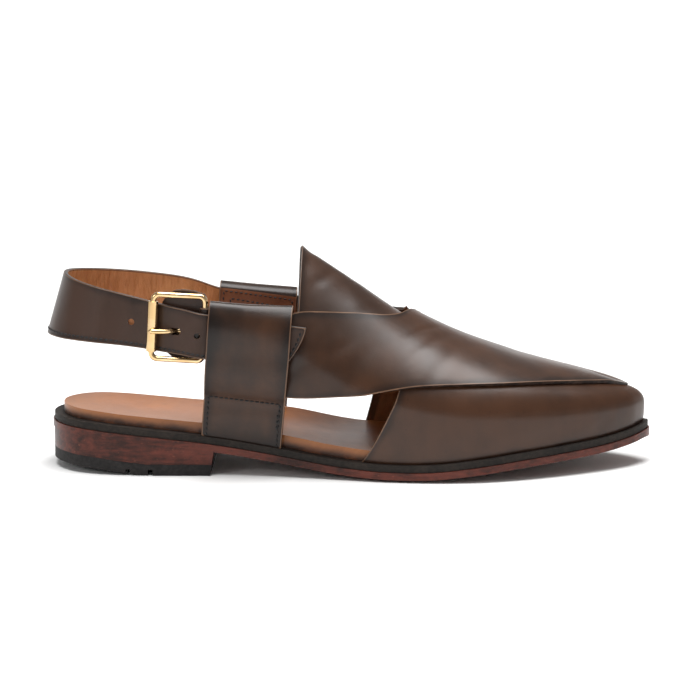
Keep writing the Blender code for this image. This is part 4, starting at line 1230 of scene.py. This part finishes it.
def box_cutter(low, high):
    """A block between two corners, given in the tables' coordinates."""
    bm = bmesh.new()
    bmesh.ops.create_cube(bm, size=1)
    for vert in bm.verts:
        vert.co = Vector(low[i] + (high[i] - low[i]) * (vert.co[i] + 0.5) for i in range(3)) + TO_FRAME
    return from_bmesh(bm, "slot_cutter")


heel_stack = heel_layer(
    "stained_heel", "heel_stack", lambda x, out: outsole_base(x, out) - CLEAR,
    lambda x, out: rubber_base(x, out) + RUBBER_THICK + CLEAR, sole_edge,
)
heel_tread = heel_layer(
    "heel_rubber_piece", "heel_top_piece",
    lambda x, out: rubber_base(x, out) + RUBBER_THICK, rubber_base, heel_rubber,
)
for side in (LATERAL, MEDIAL):
    for x in NOTCHES_X:
        inner, outer = sorted(side * reach for reach in NOTCH_REACH)
        cut_away(heel_tread, box_cutter((x, inner, -1 * MM), (x + NOTCH_WIDE, outer, NOTCH_HIGH)))
for piece in (heel_stack, heel_tread):
    soften(piece, 0.4 * MM)
print("heel cut at", HEEL_BREAST_X / MM, "mm")

# %% [markdown]
# ## Stitches
# A stitch is a short thread pulled into the leather at both ends, so it reads as a row of flattened
# grains. One small sphere is squeezed for each, turned along its seam with a slight slant, and a seam is
# one mesh.

# %% Sew the seams
STITCH_PITCH, STITCH_LONG, STITCH_WIDE, STITCH_HIGH = 2.5 * MM, 2.05 * MM, 0.95 * MM, 0.8 * MM
STITCH_SLANT = math.radians(9)


def sew(name, path, outward, size=1.0):
    """A row of stitches along a path. outward gives the leather's outward direction at a point."""
    path = np.asarray(path)
    run = run_along(path)
    count = max(1, int(run[-1] / STITCH_PITCH))
    bm = bmesh.new()
    for i in range(count):
        here = (i + 0.5) * run[-1] / count
        ends = [Vector([np.interp(here + d * MM, run, path[:, c]) for c in range(3)]) for d in (-0.5, 0.5)]
        middle = (ends[0] + ends[1]) / 2
        out = Vector(outward(middle)).normalized()
        ahead = (ends[1] - ends[0]).normalized()
        ahead = (Matrix.Rotation(STITCH_SLANT, 3, out) @ (ahead - out * ahead.dot(out))).normalized()
        across = out.cross(ahead)
        axes = Matrix((
            ahead * STITCH_LONG * size / 2, across * STITCH_WIDE * size / 2, out * STITCH_HIGH * size / 2,
        )).transposed().to_4x4()
        bmesh.ops.create_uvsphere(
            bm, u_segments=8, v_segments=6, radius=1, matrix=Matrix.Translation(middle) @ axes @ UPRIGHT
        )
    bmesh.ops.recalc_face_normals(bm, faces=bm.faces)
    to_piece(bm, name, (thread,))
    print(name, count, "stitches")


# %% Seams of the strap
# How high on the strap's width its lower seam runs, and how far from its tail the other one does
SEAM_RISE, SEAM_FROM_TAIL = -1 + 2 * 1.9 / 24, 2.2 * MM
SEAM_LIFT = STRAP_THICK + 0.05 * MM


def strap_out(point):
    middle, up, out, width = strap_place(np.linspace(0, STRAP_LONG, 400))
    return out[np.argmin(np.linalg.norm(middle - np.array(point), axis=1))]


lower_run = np.linspace(SEAM_FROM_TAIL, STRAP_LONG - 6 * MM, 400)
sew("strap_lower_seam", on_strap(lower_run, np.full(400, SEAM_RISE), SEAM_LIFT), strap_out)
tail_rise = np.linspace(0.78, SEAM_RISE, 40)
sew("strap_tail_seam", on_strap(np.full(40, SEAM_FROM_TAIL), tail_rise, SEAM_LIFT), strap_out)

# %% Seams of the loops
SEAM_IN = 2.3 * MM / LOOP_WIDTH
# Heights at the rear and at the front edge: the outer seam's corners and feet, the inner seam's feet
SEAM_HIGH, SEAM_LOW, INNER_SEAM_LOW = np.array([(40.6, 36.8), (20.6, 15.2), (56, 52)]) * MM
# The inner seam's two rows: how far in, in outer seams, and how far below the fold
INNER_ROWS = ((1, 3.4 * MM), (2.6, 7.4 * MM))


def loop_skin(side, share, z, inside):
    """How far off the last the strip's grain side stands at a height, on its inner or its outer face."""
    profile = loop_profile(side, share)
    fold = int(INSIDE_SHARE * PROFILE_STEPS)
    face = profile[:fold] if inside else profile[:fold:-1]
    return np.interp(z, face[:, 1], face[:, 0]) + (-0.1 if inside else 0.1) * MM


def loop_seam(side, first, last, count=60, inside=False):
    """Points on a loop's face from one (share, height) to another."""
    share = np.linspace(first[0], last[0], count)
    z = np.linspace(first[1], last[1], count)
    skin = np.array([loop_skin(side, s, h, inside) for s, h in zip(share, z)])
    return loop_point(side, share, skin, z)


def three_sides(inset, high, low):
    """The ends, as (share, height), of a seam's top row, rear row and front row."""
    rear, front = (inset, high[0]), (1 - inset, high[1])
    return (rear, front), (rear, (inset, low[0])), (front, (1 - inset, low[1]))


LOOPS = ((LATERAL, "near"), (MEDIAL, "far"))
for side, label in LOOPS:
    for part, ends in zip(("seam", "rear_seam", "front_seam"), three_sides(SEAM_IN, SEAM_HIGH, SEAM_LOW)):
        sew(f"{label}_loop_{part}", loop_seam(side, *ends), lambda point: (0, side, 0))
backtack = loop_seam(LATERAL, (0.925, 32 * MM), (0.925, 24 * MM))
sew("near_loop_backtack", backtack, lambda point: (0, LATERAL, 0))
for side, label in LOOPS:
    for inset, depth in INNER_ROWS:
        high = [top - depth for top in LOOP_TOP[side]]
        for part, ends in enumerate(three_sides(SEAM_IN * inset, high, INNER_SEAM_LOW)):
            row = loop_seam(side, *ends, inside=True)
            name = f"{label}_loop_inner_seam_{round(depth / MM)}_{part}"
            sew(name, row, lambda point: (0, -side, 0), size=0.8)

# %% [markdown]
# ## Floor, light and camera
# The shoe stands in a wide, shallow bowl of pale paper, so that its floor has no corner from any side.
# One broad lamp overhead gives the long soft lights on the bands and the toe wall. A weaker one fills
# from the front left, and a third lights the paper behind the shoe.

# %% Floor
# In metres: radius of the flat floor, radius of the bend round it, height of the upright rim above the bend
FLOOR_REACH, RIM_BEND, RIM_HIGH = 2.4, 0.6, 0.3

paper = Finish("white_paper", Roughness=0.85, Specular_IOR_Level=0.2)
paper.feed("Base Color", paper.mix(paper.noise(0.3, 2), (0.86, 0.86, 0.855, 1), (0.90, 0.90, 0.895, 1)))
bm = bmesh.new()
bmesh.ops.create_circle(bm, segments=72, radius=FLOOR_REACH, cap_ends=True)
ring = [edge for edge in bm.edges if edge.is_boundary]
for angle in np.radians(range(15, 91, 15)):
    grown = bmesh.ops.extrude_edge_only(bm, edges=ring)["geom"]
    ring = [item for item in grown if isinstance(item, bmesh.types.BMEdge)]
    reach = FLOOR_REACH + RIM_BEND * math.sin(angle)
    for vert in (item for item in grown if isinstance(item, bmesh.types.BMVert)):
        flat_place = Vector((vert.co.x, vert.co.y)).normalized() * reach
        vert.co = (*flat_place, RIM_BEND * (1 - math.cos(angle)))
grown = bmesh.ops.extrude_edge_only(bm, edges=ring)["geom"]
top_ring = [item for item in grown if isinstance(item, bmesh.types.BMVert)]
bmesh.ops.translate(bm, verts=top_ring, vec=(0, 0, RIM_HIGH))
floor = from_bmesh(bm, "floor")
floor.data.shade_smooth()
floor.data.materials.append(paper.material)
print("floor", [round(c, 2) for c in floor.dimensions])

# %% Lamps
def lamp(name, place, target, size, power):
    """A rectangular lamp: place, target and size in metres, power in watts."""
    data = bpy.data.lights.new(name, "AREA")
    data.shape, data.size, data.size_y, data.energy = "RECTANGLE", size[0], size[1], power
    light = add_object(name, data)
    light.location = place
    light.rotation_euler = (Vector(target) - Vector(place)).to_track_quat("-Z", "Y").to_euler()


lamp("overhead", (0.05, -0.05, 1.15), (0, 0, 0.05), (1.2, 0.7), 24)
lamp("front_left", (-1.1, -1.1, 0.7), (0, 0, 0.06), (0.45, 0.35), 3.5)
lamp("backdrop", (0, 1.2, 1.8), (0, 3.0, 0.6), (3.0, 1.0), 60)
world = bpy.data.worlds.new("studio")
world.use_nodes = True
sky = world.node_tree.nodes["Background"].inputs
sky["Color"].default_value = (1, 1, 1, 1)
sky["Strength"].default_value = 0.3
bpy.context.scene.world = world
bpy.context.scene.view_settings.view_transform = "Standard"
print("three lamps")

# %% Camera
CAMERA_ELEVATION = math.radians(9.5)
CAMERA_DISTANCE = 0.98
CAMERA_TARGET = Vector((0.00003, 0.003, 0.057))
camera_data = bpy.data.cameras.new("camera")
camera_data.lens = 100
camera_data.sensor_width = 36
camera = add_object("camera", camera_data)
sight = Vector((0, math.cos(CAMERA_ELEVATION), -math.sin(CAMERA_ELEVATION)))
camera.location = CAMERA_TARGET - sight * CAMERA_DISTANCE
camera.rotation_euler = sight.to_track_quat("-Z", "Y").to_euler()
bpy.context.scene.camera = camera
print("camera at", [round(c, 3) for c in camera.location])
